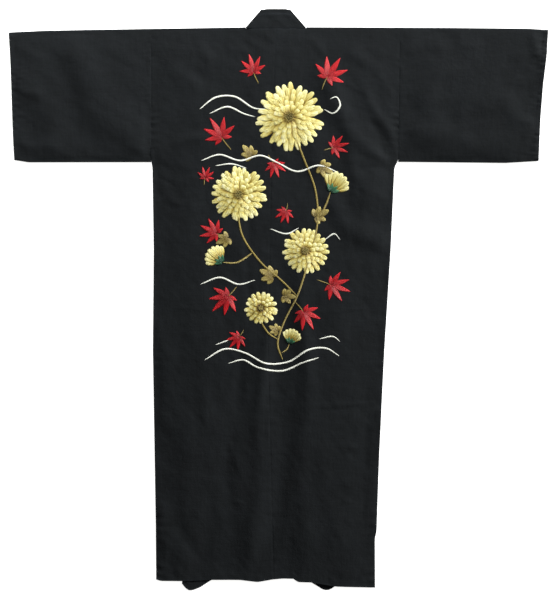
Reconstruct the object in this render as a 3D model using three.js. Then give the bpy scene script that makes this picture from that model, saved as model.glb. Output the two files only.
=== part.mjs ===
// A plain black kimono robe, laid flat on its front with its back up.
// Millimetres. +Z is up from the surface, +Y runs towards the collar and +X across the sleeves.
// "Drop" is the distance down from the shoulder line, and "rise" the distance above it.
// Left and right are the wearer's, so the left side is at -X.
import * as THREE from "three";

// ---- driving sizes ----
const cloth = 1.0; // one layer of cotton broadcloth, with its seam bulk
const band = 1.6; // the collar band, which is folded double
const gap = 0.3; // between pieces at a seam, and between layers that lie on each other
const halfSpan = 642; // centre to the tip of a cuff
const collarRise = 43; // the back collar above the shoulder line
const collarWidth = 57; // the finished band
const collarEnd = 650; // drop of the collar's lower ends
const frontPoint = 230; // drop where an overlap panel begins, in a point at the collar
const hemDrop = 1320; // nominal drop of the hem
const lowestDrop = 1340; // the overlap panels' corners hang this low
const armholeDrop = 318; // the sleeve is sewn to the body down to here
const sleeveHem = 319; // nominal drop of a sleeve's bottom edge
const neckDip = 2.6; // the back neck edge below the shoulder line
const neckPoints = { left: -76, right: 64 }; // where the collar turns over the shoulder, x
const collarCorners = { left: -38, right: 26 }; // the ends of the collar's top edge, x
const slantGap = 1.2 * gap; // measured across the garment, beside the collar's slanting seams
const turnSteps = 6; // facets round a fold
const bodyRows = 32; // facets down the back

const shoulderY = (collarRise + lowestDrop) / 2 - collarRise;
const yAt = (drop) => shoulderY - drop;

// ---- levels of the layers above the surface ----
const upperFront = band + gap; // the right front lies on the left one
const backLevel = upperFront + band + gap; // the back lies on both fronts and their bands
const sagLevel = 2.6; // the back's underside where only the left front is under it
const armLevel = 3.0; // the back's underside where a sleeve joins it
const sleeveLevel = 2.3;
const seamLevel = cloth + gap; // two layers of one piece meet at a side seam
const backNeck = 0.5; // the neck stretch of the collar stands this much over the back

// ---- outlines ----
// The body's side edges.
const sideEdges = [
  { drop: 0, left: -303, right: 289 },
  { drop: 316, left: -303, right: 285 },
  { drop: 334, left: -300, right: 276 },
  { drop: 530, left: -297, right: 267 },
  { drop: 770, left: -299, right: 252 },
  { drop: 1010, left: -295, right: 240 },
  { drop: 1196, left: -292, right: 233.5 },
  { drop: 1210, left: -292, right: 229.5 },
  { drop: 1340, left: -291, right: 230 },
];
const centreSeam = [
  { drop: 0, x: -6 },
  { drop: 300, x: -17 },
  { drop: 770, x: -25 },
  { drop: 1340, x: -11 },
];
// Where the overlap panels are sewn to the fronts, and their free edges.
const overlapSeams = [
  { drop: 0, left: -18, right: -5 },
  { drop: 650, left: 0, right: -40 },
  { drop: 1340, left: 0, right: -72 },
];
const overlapEdges = [
  { drop: 650, left: 145, right: -190 },
  { drop: 1340, left: 141, right: -231 },
];
// The folded top edge: its drop at each x, from cuff to cuff.
const topEdge = [
  { x: -642, drop: 12 },
  { x: -557, drop: 8 },
  { x: -446, drop: 5.8 },
  { x: -303, drop: 3.6 },
  { x: -78, drop: 0 },
  { x: 66, drop: 0 },
  { x: 200, drop: 0.4 },
  { x: 401, drop: 1.2 },
  { x: 592, drop: 3 },
  { x: 642, drop: 6 },
];
const sleeveBottom = [
  { x: -642, drop: 314 },
  { x: -595, drop: 321.5 },
  { x: -300, drop: 321 },
  { x: 300, drop: 320.5 },
  { x: 540, drop: 323 },
  { x: 642, drop: 317 },
];
const cuffs = [
  { drop: 0, left: -642, right: 642 },
  { drop: 60, left: -638.5, right: 638 },
  { drop: 130, left: -636, right: 630 },
  { drop: 220, left: -633.5, right: 623 },
  { drop: 322, left: -629, right: 619 },
];
// The leading edge of the right front, which the back passes over.
const rightFrontEdge = [
  { drop: 0, x: 5 },
  { drop: 650, x: -190 },
  { drop: 1340, x: -231 },
];
const backHem = [
  { x: -292, drop: 1314 },
  { x: -280, drop: 1318 },
  { x: -224, drop: 1318 },
  { x: -160, drop: 1315 },
  { x: -92, drop: 1315 },
  { x: -50, drop: 1320 },
  { x: -14, drop: 1314 },
  { x: 32, drop: 1310 },
  { x: 46, drop: 1320 },
  { x: 80, drop: 1321 },
  { x: 138, drop: 1331 },
  { x: 231, drop: 1334 },
];
const lowerHem = [
  { x: -290, drop: 1310 },
  { x: -92, drop: 1310 },
  { x: 66, drop: 1314 },
  { x: 80, drop: 1323 },
  { x: 97, drop: 1333 },
  { x: 104, drop: 1338 },
  { x: 112, drop: lowestDrop },
  { x: 119, drop: lowestDrop },
  { x: 127, drop: 1336 },
  { x: 142, drop: 1326 },
];
const upperHem = [
  { x: -231, drop: 1322 },
  { x: -224, drop: 1332 },
  { x: -215, drop: lowestDrop },
  { x: -205, drop: lowestDrop },
  { x: -186, drop: 1333 },
  { x: -170, drop: 1322 },
  { x: -154, drop: 1312 },
  { x: 60, drop: 1312 },
  { x: 130, drop: 1320 },
  { x: 230, drop: 1326 },
];

// ---- folds of the back layer: from one end to the other, half width, height ----
const folds = [
  { x0: 43, d0: 420, x1: 44, d1: 1318, width: 20, height: -1.6 },
  { x0: 8, d0: 560, x1: 12, d1: 1316, width: 22, height: 1.5 },
  { x0: 84, d0: 460, x1: 96, d1: 1310, width: 30, height: 1.3 },
  { x0: -68, d0: 700, x1: -74, d1: 1300, width: 18, height: -1.3 },
  { x0: -40, d0: 760, x1: -36, d1: 1180, width: 16, height: 1.0 },
  { x0: -106, d0: 980, x1: -112, d1: 1316, width: 22, height: -1.2 },
  { x0: -150, d0: 420, x1: -142, d1: 1290, width: 34, height: 0.9 },
  { x0: -284, d0: 1120, x1: -222, d1: 1200, width: 16, height: -1.0 },
  { x0: 92, d0: 900, x1: 230, d1: 902, width: 10, height: 0.9 },
  { x0: 66, d0: 460, x1: 226, d1: 515, width: 26, height: -1.1 },
  { x0: 276, d0: 300, x1: 170, d1: 80, width: 22, height: -1.3 },
  { x0: 282, d0: 292, x1: 216, d1: 96, width: 14, height: 1.4 },
  { x0: -298, d0: 312, x1: -220, d1: 240, width: 18, height: 1.1 },
  { x0: -512, d0: 26, x1: -356, d1: 306, width: 26, height: -1.3 },
  { x0: -556, d0: 70, x1: -470, d1: 300, width: 24, height: 1.2 },
  { x0: -474, d0: 20, x1: -330, d1: 270, width: 22, height: 1.1 },
  { x0: -610, d0: 120, x1: -560, d1: 290, width: 18, height: -0.9 },
  { x0: 320, d0: 288, x1: 560, d1: 280, width: 20, height: -1.0 },
  { x0: 350, d0: 60, x1: 560, d1: 200, width: 40, height: 1.1 },
  { x0: 604, d0: 12, x1: 632, d1: 44, width: 10, height: 1.2 },
];
const loft = 1.5; // how far the back layer stands over what is under it, between folds
const mostRoom = 3.9; // the tallest hollow under the back layer
const foldFade = 26; // folds fade out over this distance from an edge
const stepWidth = 50; // the back eases down over this distance beside the right front
const sideSlope = 80; // and over this one towards its sides
const sleeveSlope = 90; // the sleeve's upper layer comes down from the armhole over this distance
const seamSlope = 34; // and down to its lower layer at the seam underneath
const armSlope = { above: 20, below: 30 }; // the back comes down to the side seam round the underarm
const frontSlope = { from: 160, short: 22 }; // the right front comes down to the surface between these

// ---- small helpers ----
const clamp = (v, low, high) => Math.min(high, Math.max(low, v));
const smooth = (v, low, high) => {
  const t = clamp((v - low) / (high - low), 0, 1);
  return t * t * (3 - 2 * t);
};
const mix = (a, b, t) => a + (b - a) * t;

// Reads a column of a table at a key, straight between its rows.
function read(table, key, at, column) {
  const last = table.length - 1;
  if (at <= table[0][key]) return table[0][column];
  if (at >= table[last][key]) return table[last][column];
  const i = table.findIndex((row) => row[key] >= at);
  const before = table[i - 1];
  const after = table[i];
  return mix(before[column], after[column], (at - before[key]) / (after[key] - before[key]));
}

const even = (count) => Array.from({ length: count + 1 }, (_, i) => i / count);

// Where a row of a panel lies: it follows the top edge at one end and the hem at the other.
function laidDrop(drop, x, hem, length) {
  const top = read(topEdge, "x", x, "drop") * (1 - smooth(drop, 0, 200));
  const bottom = (read(hem, "x", x, "drop") - length) * smooth(drop, 0.85 * length, length);
  return drop + top + bottom;
}

// One wall of cloth from two grids of points, its outer and inner face, closed round its edges.
function wall(outer, inner) {
  const rows = outer.length;
  const columns = outer[0].length;
  const points = [...outer.flat(), ...inner.flat()].flatMap((p) => [p.x, p.y, p.z]);
  const at = (side, r, c) => side * rows * columns + r * columns + c;
  const faces = [];
  const quad = (a, b, c, d) => faces.push(a, b, c, a, c, d);
  for (let r = 0; r < rows - 1; r++)
    for (let c = 0; c < columns - 1; c++) {
      quad(at(0, r, c), at(0, r, c + 1), at(0, r + 1, c + 1), at(0, r + 1, c));
      quad(at(1, r, c), at(1, r + 1, c), at(1, r + 1, c + 1), at(1, r, c + 1));
    }
  for (let r = 0; r < rows - 1; r++) {
    const end = columns - 1;
    quad(at(0, r, 0), at(0, r + 1, 0), at(1, r + 1, 0), at(1, r, 0));
    quad(at(0, r, end), at(1, r, end), at(1, r + 1, end), at(0, r + 1, end));
  }
  for (let c = 0; c < columns - 1; c++) {
    const end = rows - 1;
    quad(at(0, 0, c), at(1, 0, c), at(1, 0, c + 1), at(0, 0, c + 1));
    quad(at(0, end, c), at(0, end, c + 1), at(1, end, c + 1), at(1, end, c));
  }
  const geometry = new THREE.BufferGeometry();
  geometry.setAttribute("position", new THREE.Float32BufferAttribute(points, 3));
  geometry.setIndex(signedVolume(points, faces) < 0 ? turned(faces) : faces);
  return geometry;
}

function signedVolume(points, faces) {
  const corner = (i) => new THREE.Vector3().fromArray(points, 3 * i);
  let sum = 0;
  for (let i = 0; i < faces.length; i += 3) {
    const [a, b, c] = faces.slice(i, i + 3).map(corner);
    sum += a.dot(b.cross(c));
  }
  return sum;
}

function turned(faces) {
  const out = [];
  for (let i = 0; i < faces.length; i += 3) out.push(faces[i], faces[i + 2], faces[i + 1]);
  return out;
}

// ---- the levels of each layer ----
// Height that the folds add at a place on the back layer.
function foldHeight(x, drop) {
  let sum = 0;
  for (const f of folds) {
    const along = new THREE.Vector2(f.x1 - f.x0, f.d1 - f.d0);
    const here = new THREE.Vector2(x - f.x0, drop - f.d0);
    const t = here.dot(along) / along.lengthSq();
    const off = here.cross(along) / along.length();
    const taper = smooth(t, -0.08, 0.25) * (1 - smooth(t, 0.75, 1.08));
    sum += f.height * taper * Math.exp(-((off / f.width) ** 2));
  }
  return sum;
}

// Lifts a layer by its folds. Under it is a layer whose top is at beneath.
function lofted(base, beneath, x, drop, edgeDistance) {
  const fade = smooth(edgeDistance, 0, foldFade);
  return base + clamp(loft + foldHeight(x, drop), 0, beneath + mostRoom - base) * fade;
}

// Underside of the right front: it lies on the left one, and comes down to the surface at its side.
function upperFrontUnderside(x, drop) {
  const right = read(sideEdges, "drop", drop, "right");
  return upperFront * (1 - smooth(x, frontSlope.from, right - frontSlope.short));
}

// Underside of the body's back layer.
function backUnderside(x, drop) {
  const left = read(sideEdges, "drop", drop, "left");
  const right = read(sideEdges, "drop", drop, "right");
  const pastEdge = x - read(rightFrontEdge, "drop", drop, "x");
  const pastArm = smooth(drop - armholeDrop, -armSlope.above, armSlope.below);
  const side = mix(armLevel, seamLevel, pastArm);
  const middle = mix(sagLevel, backLevel, smooth(pastEdge, -stepWidth, 0));
  const base = mix(side, middle, smooth(Math.min(x - left, right - x), 0, sideSlope));
  const beneath = cloth + upperFrontUnderside(x, drop) * smooth(pastEdge, 0, stepWidth);
  return lofted(base, beneath, x, drop, Math.min(drop, x - left, right - x));
}

// Underside of a sleeve's upper layer.
function sleeveUnderside(x, drop) {
  const edge = read(sideEdges, "drop", drop, x < 0 ? "left" : "right");
  const cuff = read(cuffs, "drop", drop, x < 0 ? "left" : "right");
  const fromBody = Math.abs(x - edge);
  const bottom = read(sleeveBottom, "x", x, "drop");
  const base = mix(armLevel, sleeveLevel, smooth(fromBody, 0, sleeveSlope));
  const level = mix(seamLevel, base, smooth(bottom - drop, 0, seamSlope));
  return lofted(level, cloth, x, drop, Math.min(drop, bottom - drop, fromBody, Math.abs(cuff - x)));
}

// ---- folded pieces: a front layer, a turn at the top and a back layer, in one cloth ----
// across runs from the outer edge, 0, to the inner one, 1, and place gives a point's x.
// frontLevel and backUnder give the undersides of the two layers.
function foldedPiece({ across, frontDrops, backDrops, place, frontLevel, backUnder, hem, frontHem }) {
  const outer = [];
  const inner = [];
  const length = backDrops[backDrops.length - 1];
  const plan = (c, drop, layer) => {
    const x = place(c, drop, layer);
    const edge = layer === "front" ? frontHem : hem;
    return { x, y: yAt(laidDrop(drop, x, edge, length)), drop };
  };
  const layerRow = (drop, layer) => {
    const points = across.map((c) => plan(c, drop, layer));
    const level = layer === "front" ? frontLevel : backUnder;
    const low = points.map((p) => new THREE.Vector3(p.x, p.y, level(p.x, p.drop)));
    const high = low.map((p) => new THREE.Vector3(p.x, p.y, p.z + cloth));
    outer.push(layer === "front" ? low : high);
    inner.push(layer === "front" ? high : low);
  };
  [...frontDrops].reverse().forEach((drop) => layerRow(drop, "front"));
  for (let i = 0; i <= turnSteps; i++) {
    const angle = mix(-Math.PI / 2, Math.PI / 2, i / turnSteps);
    const ring = (shrink) =>
      across.map((c) => {
        const p = plan(c, 0, "turn");
        const under = frontLevel(p.x, 0);
        const radius = (backUnder(p.x, 0) + cloth - under) / 2;
        const r = radius - shrink;
        const z = under + radius + r * Math.sin(angle);
        return new THREE.Vector3(p.x, p.y - radius + r * Math.cos(angle), z);
      });
    outer.push(ring(0));
    inner.push(ring(cloth));
  }
  backDrops.forEach((drop) => layerRow(drop, "back"));
  return wall(outer, inner);
}

// The seam along a leg of the collar: its x at each drop. It ends a band's width from the free edge.
function collarSeam(side, drop) {
  const end = read(overlapEdges, "drop", collarEnd, side) + Math.sign(neckPoints[side]) * collarWidth;
  return mix(neckPoints[side], end, clamp((drop - neckDip) / (collarEnd - neckDip), 0, 1));
}

// ---- pieces ----
function bodyPanel(side) {
  const s = side === "left" ? -1 : 1;
  const columns = [0, 0.035, 0.09, 0.17, 0.27, 0.38, 0.5, 0.62, 0.74, 0.87, 1];
  const neckSide = neckPoints[side] + s * 2.6;
  const inside = (drop, layer) => {
    if (layer === "turn" || (layer === "back" && drop <= neckDip)) return neckSide;
    if (layer === "back") return read(centreSeam, "drop", drop, "x") + (s * gap) / 2;
    const seam = read(overlapSeams, "drop", drop, side) + s * gap;
    const neck = collarSeam(side, drop) + s * slantGap;
    return s < 0 ? Math.min(seam, neck) : Math.max(seam, neck);
  };
  const downBack = even(bodyRows).slice(1);
  return foldedPiece({
    across: columns,
    frontDrops: [4.5, 60, frontPoint / 2, frontPoint, 330, 450, 650, 900, 1196, 1212, hemDrop - 30, hemDrop],
    backDrops: [neckDip, neckDip + 0.2, 14, 28, ...downBack.map((t) => t * hemDrop)],
    place: (c, drop, layer) => mix(read(sideEdges, "drop", drop, side), inside(drop, layer), c),
    frontLevel: side === "left" ? () => 0 : upperFrontUnderside,
    backUnder: backUnderside,
    hem: backHem,
    frontHem: side === "left" ? lowerHem : upperHem,
  });
}

function sleeve(side) {
  const s = side === "left" ? -1 : 1;
  const columns = [0, 0.04, 0.1, 0.2, 0.3, 0.4, 0.5, 0.6, 0.7, 0.8, 0.9, 0.96, 1];
  const seam = (drop) => read(sideEdges, "drop", Math.min(drop, armholeDrop - 8), side) + s * gap;
  return foldedPiece({
    across: columns,
    frontDrops: [6, 60, 130, 220, sleeveHem],
    backDrops: [6, 16, 34, 62, 90, 118, 146, 174, 202, 230, 256, 280, 298, 310, sleeveHem],
    place: (c, drop) => mix(read(cuffs, "drop", drop, side), seam(drop), c),
    frontLevel: () => 0,
    backUnder: sleeveUnderside,
    hem: sleeveBottom,
    frontHem: sleeveBottom,
  });
}

// An overlap panel: one flat layer between the front's edge and its own free edge.
function overlapPanel(side) {
  const s = side === "left" ? 1 : -1;
  const level = side === "left" ? 0 : upperFront;
  const hem = side === "left" ? lowerHem : upperHem;
  const drops = [frontPoint + 8, 330, 450, collarEnd, collarEnd + gap, 900, 1150, 1290, hemDrop];
  const columns = [0, 0.2, 0.4, 0.56, 0.66, 0.76, 0.84, 0.92, 1];
  const low = drops.map((drop) =>
    columns.map((c) => {
      const seam = read(overlapSeams, "drop", drop, side);
      const neck = collarSeam(side, drop) - s * slantGap;
      const edge = drop <= collarEnd ? neck : read(overlapEdges, "drop", drop, side);
      const x = mix(seam, edge, c);
      return new THREE.Vector3(x, yAt(laidDrop(drop, x, hem, hemDrop)), level);
    }),
  );
  const high = low.map((row) => row.map((p) => new THREE.Vector3(p.x, p.y, p.z + cloth)));
  return wall(low, high);
}

// The collar: up one front, turned over at the shoulder, across the back neck and down the other front.
function collar() {
  const across = [0, 0.5, 1];
  const legDrops = [24, 60, 110, 170, 240, 330, 430, 540, collarEnd];
  const squareFrom = 430; // below this drop a leg's rows turn level, for its square end
  const spread = { drop: 80, narrow: 0.86, rise: 14 }; // a leg's top rows reach up towards the fold
  const legLevel = { left: band / 2, right: upperFront + band / 2 };
  const backMiddle = backLevel + backNeck + band / 2;

  // A row of points from the seam to the free edge. It is read with -1 or 1 for its under and upper side.
  const flatRow = (seam, free, z) => (side) =>
    across.map((c) => {
      const point = new THREE.Vector3(mix(seam.x, free.x, c), mix(seam.y, free.y, c), z);
      return point.setZ(z + (side * band) / 2);
    });
  const leg = (side) => {
    const s = side === "left" ? 1 : -1;
    const slope = Math.abs(collarSeam(side, collarEnd) - neckPoints[side]) / (collarEnd - neckDip);
    const square = new THREE.Vector2(1, slope).normalize().multiplyScalar(collarWidth);
    return legDrops.map((drop) => {
      const level = smooth(drop, squareFrom, collarEnd);
      const nearTop = 1 - smooth(drop, 0, spread.drop);
      const width = mix(square.x * mix(1, spread.narrow, nearTop), collarWidth, level);
      const rise = mix(square.y + spread.rise * nearTop, 0, level);
      const seam = { x: collarSeam(side, drop), y: yAt(drop) };
      return flatRow(seam, { x: seam.x + s * width, y: seam.y + rise }, legLevel[side]);
    });
  };
  const foldLine = (side) => ({
    seam: { x: neckPoints[side], y: yAt(neckDip - gap) },
    free: { x: collarCorners[side], y: shoulderY + collarRise - 2 },
  });
  // Half a turn about the slanting fold, from the leg's level to the back neck's.
  const turn = (side) => {
    const { seam, free } = foldLine(side);
    const along = new THREE.Vector2(free.x - seam.x, free.y - seam.y).normalize();
    const out = side === "left" ? { x: -along.y, y: along.x } : { x: along.y, y: -along.x };
    const radius = (backMiddle - legLevel[side]) / 2;
    return even(turnSteps).map((t) => (wallSide) => {
      const angle = mix(-Math.PI / 2, Math.PI / 2, t);
      const r = radius + (wallSide * band) / 2;
      const reach = r * Math.cos(angle);
      return across.map((c) => {
        const x = mix(seam.x, free.x, c) + out.x * reach;
        const y = mix(seam.y, free.y, c) + out.y * reach;
        return new THREE.Vector3(x, y, legLevel[side] + radius + r * Math.sin(angle));
      });
    });
  };
  const ends = [foldLine("left"), foldLine("right")];
  const backNeckRows = [0.16, 0.5, 0.84].map((t) => {
    const seam = { x: mix(ends[0].seam.x, ends[1].seam.x, t), y: ends[0].seam.y };
    const free = { x: mix(ends[0].free.x, ends[1].free.x, t), y: shoulderY + collarRise };
    return flatRow(seam, free, backMiddle);
  });
  // The band's outer face looks down along the legs and up across the back neck.
  const route = [
    ...leg("left").reverse().map((row) => ({ row, outside: -1 })),
    ...turn("left").map((row) => ({ row, outside: 1 })),
    ...backNeckRows.map((row) => ({ row, outside: 1 })),
    ...turn("right").reverse().map((row) => ({ row, outside: 1 })),
    ...leg("right").map((row) => ({ row, outside: -1 })),
  ];
  return wall(
    route.map(({ row, outside }) => row(outside)),
    route.map(({ row, outside }) => row(-outside)),
  );
}

// ---- assembly ----
const blackCotton = new THREE.MeshStandardMaterial({ color: 0x1d1f21, roughness: 0.85, metalness: 0 });
const garment = new THREE.Group();
const pieces = {
  body_left: bodyPanel("left"),
  body_right: bodyPanel("right"),
  overlap_left: overlapPanel("left"),
  overlap_right: overlapPanel("right"),
  sleeve_left: sleeve("left"),
  sleeve_right: sleeve("right"),
  collar: collar(),
};
for (const [name, geometry] of Object.entries(pieces)) {
  const mesh = new THREE.Mesh(geometry, blackCotton);
  mesh.name = name;
  garment.add(mesh);
}

export default garment;
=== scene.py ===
import math

import bpy
import numpy as np
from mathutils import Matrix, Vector


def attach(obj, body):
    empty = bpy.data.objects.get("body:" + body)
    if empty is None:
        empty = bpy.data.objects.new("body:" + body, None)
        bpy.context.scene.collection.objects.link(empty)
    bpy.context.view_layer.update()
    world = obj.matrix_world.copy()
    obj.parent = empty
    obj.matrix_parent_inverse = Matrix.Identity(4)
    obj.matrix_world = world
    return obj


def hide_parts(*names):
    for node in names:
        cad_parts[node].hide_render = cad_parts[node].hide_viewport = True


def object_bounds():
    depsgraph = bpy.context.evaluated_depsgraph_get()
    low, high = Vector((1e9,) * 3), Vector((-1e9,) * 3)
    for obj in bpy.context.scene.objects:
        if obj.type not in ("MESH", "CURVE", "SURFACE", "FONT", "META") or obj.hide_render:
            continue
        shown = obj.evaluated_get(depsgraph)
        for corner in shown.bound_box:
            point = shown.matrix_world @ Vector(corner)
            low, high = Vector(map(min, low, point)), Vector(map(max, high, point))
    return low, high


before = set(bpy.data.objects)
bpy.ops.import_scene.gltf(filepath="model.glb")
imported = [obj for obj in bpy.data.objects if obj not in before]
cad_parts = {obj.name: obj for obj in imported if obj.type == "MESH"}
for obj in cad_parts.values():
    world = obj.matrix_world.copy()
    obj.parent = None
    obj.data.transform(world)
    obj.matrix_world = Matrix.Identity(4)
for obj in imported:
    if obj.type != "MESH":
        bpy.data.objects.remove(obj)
cadLow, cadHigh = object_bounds()
print("frame loaded:", sorted(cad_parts))

mm = 0.001

# the garment lies on its front with its back up. left and right are the wearer's, so left is at -X.
# drop is the distance down from the shoulder line
garment = {
    "cloth": 1.0 * mm,  # one layer in the frame, with its seam bulk
    "shownCloth": 0.9 * mm,
    "band": 1.6 * mm,  # the collar, folded double
    "gap": 0.3 * mm,
    "collarRise": 43 * mm,
    "collarWidth": 57 * mm,
    "collarEnd": 650 * mm,
    "frontPoint": 230 * mm,  # an overlap panel begins here, in a point
    "hem": 1320 * mm,
    "armhole": 318 * mm,
    "sleeveHem": 319 * mm,
    "neckDip": 2.6 * mm,
}
sign = {"left": -1, "right": 1}  # along X
neckPoint = {"left": -76 * mm, "right": 64 * mm}
collarCorner = {"left": -38 * mm, "right": 26 * mm}
cloth = garment["cloth"]
gap = garment["gap"]
shoulderY = cadHigh.y - garment["collarRise"]

# underside of each layer above the surface
level = {
    "upperFront": garment["band"] + gap,
    "back": 2 * (garment["band"] + gap),
    "sag": 2.6 * mm,  # the back, where only the left front is under it
    "arm": 3.0 * mm,
    "sleeve": 2.3 * mm,
    "seam": cloth + gap,
    "backNeck": 0.5 * mm,  # the collar stands this much over the back
}


# tables of the cut
def tableOf(**columns):  # written in millimetres, kept in metres
    return {name: np.array(values, float) * mm for name, values in columns.items()}


def look(table, place, column, key="drop"):
    return np.interp(place, table[key], table[column])


def softLook(table, place, column, key="drop", reach=5 * mm):  # the same, with its corners rounded
    near = look(table, place - reach, column, key) + look(table, place + reach, column, key)
    return (near + 2 * look(table, place, column, key)) / 4


sideEdge = tableOf(
    drop=[0, 316, 334, 530, 770, 1010, 1196, 1210, 1340],
    left=[-303, -303, -300, -297, -299, -295, -292, -292, -291],
    right=[289, 285, 276, 267, 252, 240, 233.5, 229.5, 230],
)
centreSeam = tableOf(drop=[0, 300, 770, 1340], x=[-6, -17, -25, -11])
overlapSeam = tableOf(drop=[0, 650, 1340], left=[-18, 0, 0], right=[-5, -40, -72])
overlapEdge = tableOf(drop=[650, 1340], left=[145, 141], right=[-190, -231])
rightFrontEdge = tableOf(drop=[0, 650, 1340], x=[5, -190, -231])
topEdge = tableOf(
    x=[-642, -557, -446, -303, -78, 66, 200, 401, 592, 642],
    drop=[12, 8, 5.8, 3.6, 0, 0, 0.4, 1.2, 3, 6],
)
sleeveBottom = tableOf(x=[-642, -595, -300, 300, 540, 642], drop=[314, 321.5, 321, 320.5, 323, 317])
cuffEdge = tableOf(
    drop=[0, 60, 130, 220, 322],
    left=[-642, -638.5, -636, -633.5, -629],
    right=[642, 638, 630, 623, 619],
)
backHem = tableOf(
    x=[-292, -280, -224, -160, -92, -50, -14, 32, 46, 80, 138, 231],
    drop=[1314, 1318, 1318, 1315, 1315, 1320, 1314, 1310, 1320, 1321, 1331, 1334],
)
frontHems = {
    "left": tableOf(
        x=[-290, -92, 66, 80, 97, 104, 112, 119, 127, 142],
        drop=[1310, 1310, 1314, 1323, 1333, 1338, 1340, 1340, 1336, 1326],
    ),
    "right": tableOf(
        x=[-231, -224, -215, -205, -186, -170, -154, 60, 130, 230],
        drop=[1322, 1332, 1340, 1340, 1333, 1322, 1312, 1312, 1320, 1326],
    ),
}

# folds of the back layer. each runs from one place to another, with its half width,
# its height (a trough is below 0) and how far its middle bows sideways, all in millimetres
foldColumns = ("x0", "drop0", "x1", "drop1", "width", "height", "bow")
bodyFolds = [
    (16, 560, -16, 1430, 25, -1.9, 3),
    (58, 430, 60, 1440, 24, 3.0, 3),
    (110, 500, 104, 1420, 44, 1.9, 3),
    (-26, 560, -84, 1430, 17, 2.1, 10),
    (-76, 410, -72, 700, 9, -1.4, 3),
    (-30, 640, -46, 1420, 34, 1.0, 0),
    (-112, 640, -124, 1322, 24, -1.6, 4),
    (-290, 700, -222, 1030, 30, 1.9, -8),
    (-184, 700, -178, 980, 20, 1.5, 4),
    (-256, 1180, -222, 1322, 22, 1.3, 0),
    (-146, 380, -140, 700, 30, -1.5, -8),
    (-314, 1110, -252, 1300, 24, 1.8, 0),
    (-252, 1104, -196, 1280, 17, -1.7, -2),
    (-290, 1040, -240, 1075, 14, 0.8, 0),
    (-176, 1060, -170, 1322, 22, -1.2, 4),
    (186, 580, 178, 900, 26, -1.2, 6),
    (78, 901, 224, 898, 6, 0.6, 2),
    (84, 909, 226, 908, 7, -0.5, -1),
    (182, 916, 236, 936, 14, -1.4, 3),
    (-262, 671, -40, 674, 6, 0.4, 2),
    (70, 674, 226, 670, 6, 0.4, -2),
    (-34, 1010, 26, 1012, 5, 0.5, 1),
    (-118, 1129, -74, 1131, 5, 0.5, -1),
    (106, 402, 268, 536, 27, 4.2, -12),
    (150, 480, 268, 572, 22, -1.0, -6),
    (54, 190, 112, 350, 26, 3.2, -6),
    (92, 92, 256, 336, 22, 5.0, -14),
    (172, 230, 194, 436, 28, 2.8, 0),
    (160, 236, 182, 430, 13, 1.0, 2),
    (190, 290, 252, 424, 30, 3.0, 0),
    (160, 60, 256, 100, 14, 1.7, -3),
    (200, 130, 294, 306, 13, 2.2, -2),
    (238, 100, 284, 200, 12, 1.4, -2),
    (214, 214, 274, 318, 11, -1.7, 0),
    (266, 326, 196, 340, 10, -1.2, 4),
    (262, 318, 150, 256, 12, 0.7, 8),
    (-304, 312, -162, 250, 17, 2.6, 3),
    (-298, 338, -208, 354, 13, -0.9, 3),
    (-292, 372, -232, 430, 12, 1.1, 0),
    (-262, 60, -170, 250, 30, 1.5, 10),
    (-232, 40, -150, 84, 18, 1.5, 6),
    (-214, 112, -120, 132, 16, -1.1, -4),
    (-120, 26, -66, 66, 12, 1.0, -4),
    (-78, 20, -22, 74, 10, 1.0, 3),
    (58, 24, 118, 70, 12, 1.2, 4),
    (-160, 470, -60, 560, 26, 1.1, 8),
    (146, 990, 186, 1004, 8, 0.7, 1),
    (150, 1012, 190, 1024, 7, -0.6, 1),
    (150, 1086, 172, 1096, 6, 0.6, 1),
    (146, 1104, 168, 1118, 6, -0.6, 1),
    (154, 1122, 176, 1134, 6, 0.6, -1),
    (-92, 700, -96, 930, 9, -1.4, 2),
]
sleeveFolds = {
    "left": [
        (-520, 8, -316, 332, 38, 3.8, -14),
        (-440, 60, -310, 310, 44, 1.9, -10),
        (-602, 80, -506, 318, 30, 2.7, -8),
        (-552, 40, -428, 326, 28, -1.9, 4),
        (-620, 60, -520, 300, 22, -0.5, 0),
        (-632, 142, -556, 168, 12, 1.8, 2),
        (-628, 214, -576, 250, 11, -0.6, 2),
        (-430, 36, -318, 96, 26, 0.6, 4),
        (-630, 46, -560, 70, 14, 0.9, 2),
        (-624, 272, -520, 300, 15, 1.2, 4),
        (-346, 284, -306, 310, 10, 1.0, 2),
    ],
    "right": [
        (306, 262, 612, 270, 28, 2.4, -3),
        (604, -20, 622, 84, 13, 3.2, 0),
        (312, 176, 440, 90, 26, 2.8, 2),
        (298, 56, 400, 34, 18, 1.5, 0),
        (306, 262, 420, 250, 20, 1.4, 2),
        (534, 160, 612, 264, 23, 2.2, -2),
        (590, 136, 632, 198, 12, -1.5, 0),
        (420, 250, 540, 140, 34, 2.0, 8),
        (470, 40, 560, 92, 26, -1.0, 6),
        (420, 20, 480, 66, 20, 1.0, 4),
        (576, 216, 626, 250, 9, 1.1, 2),
    ],
}

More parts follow.
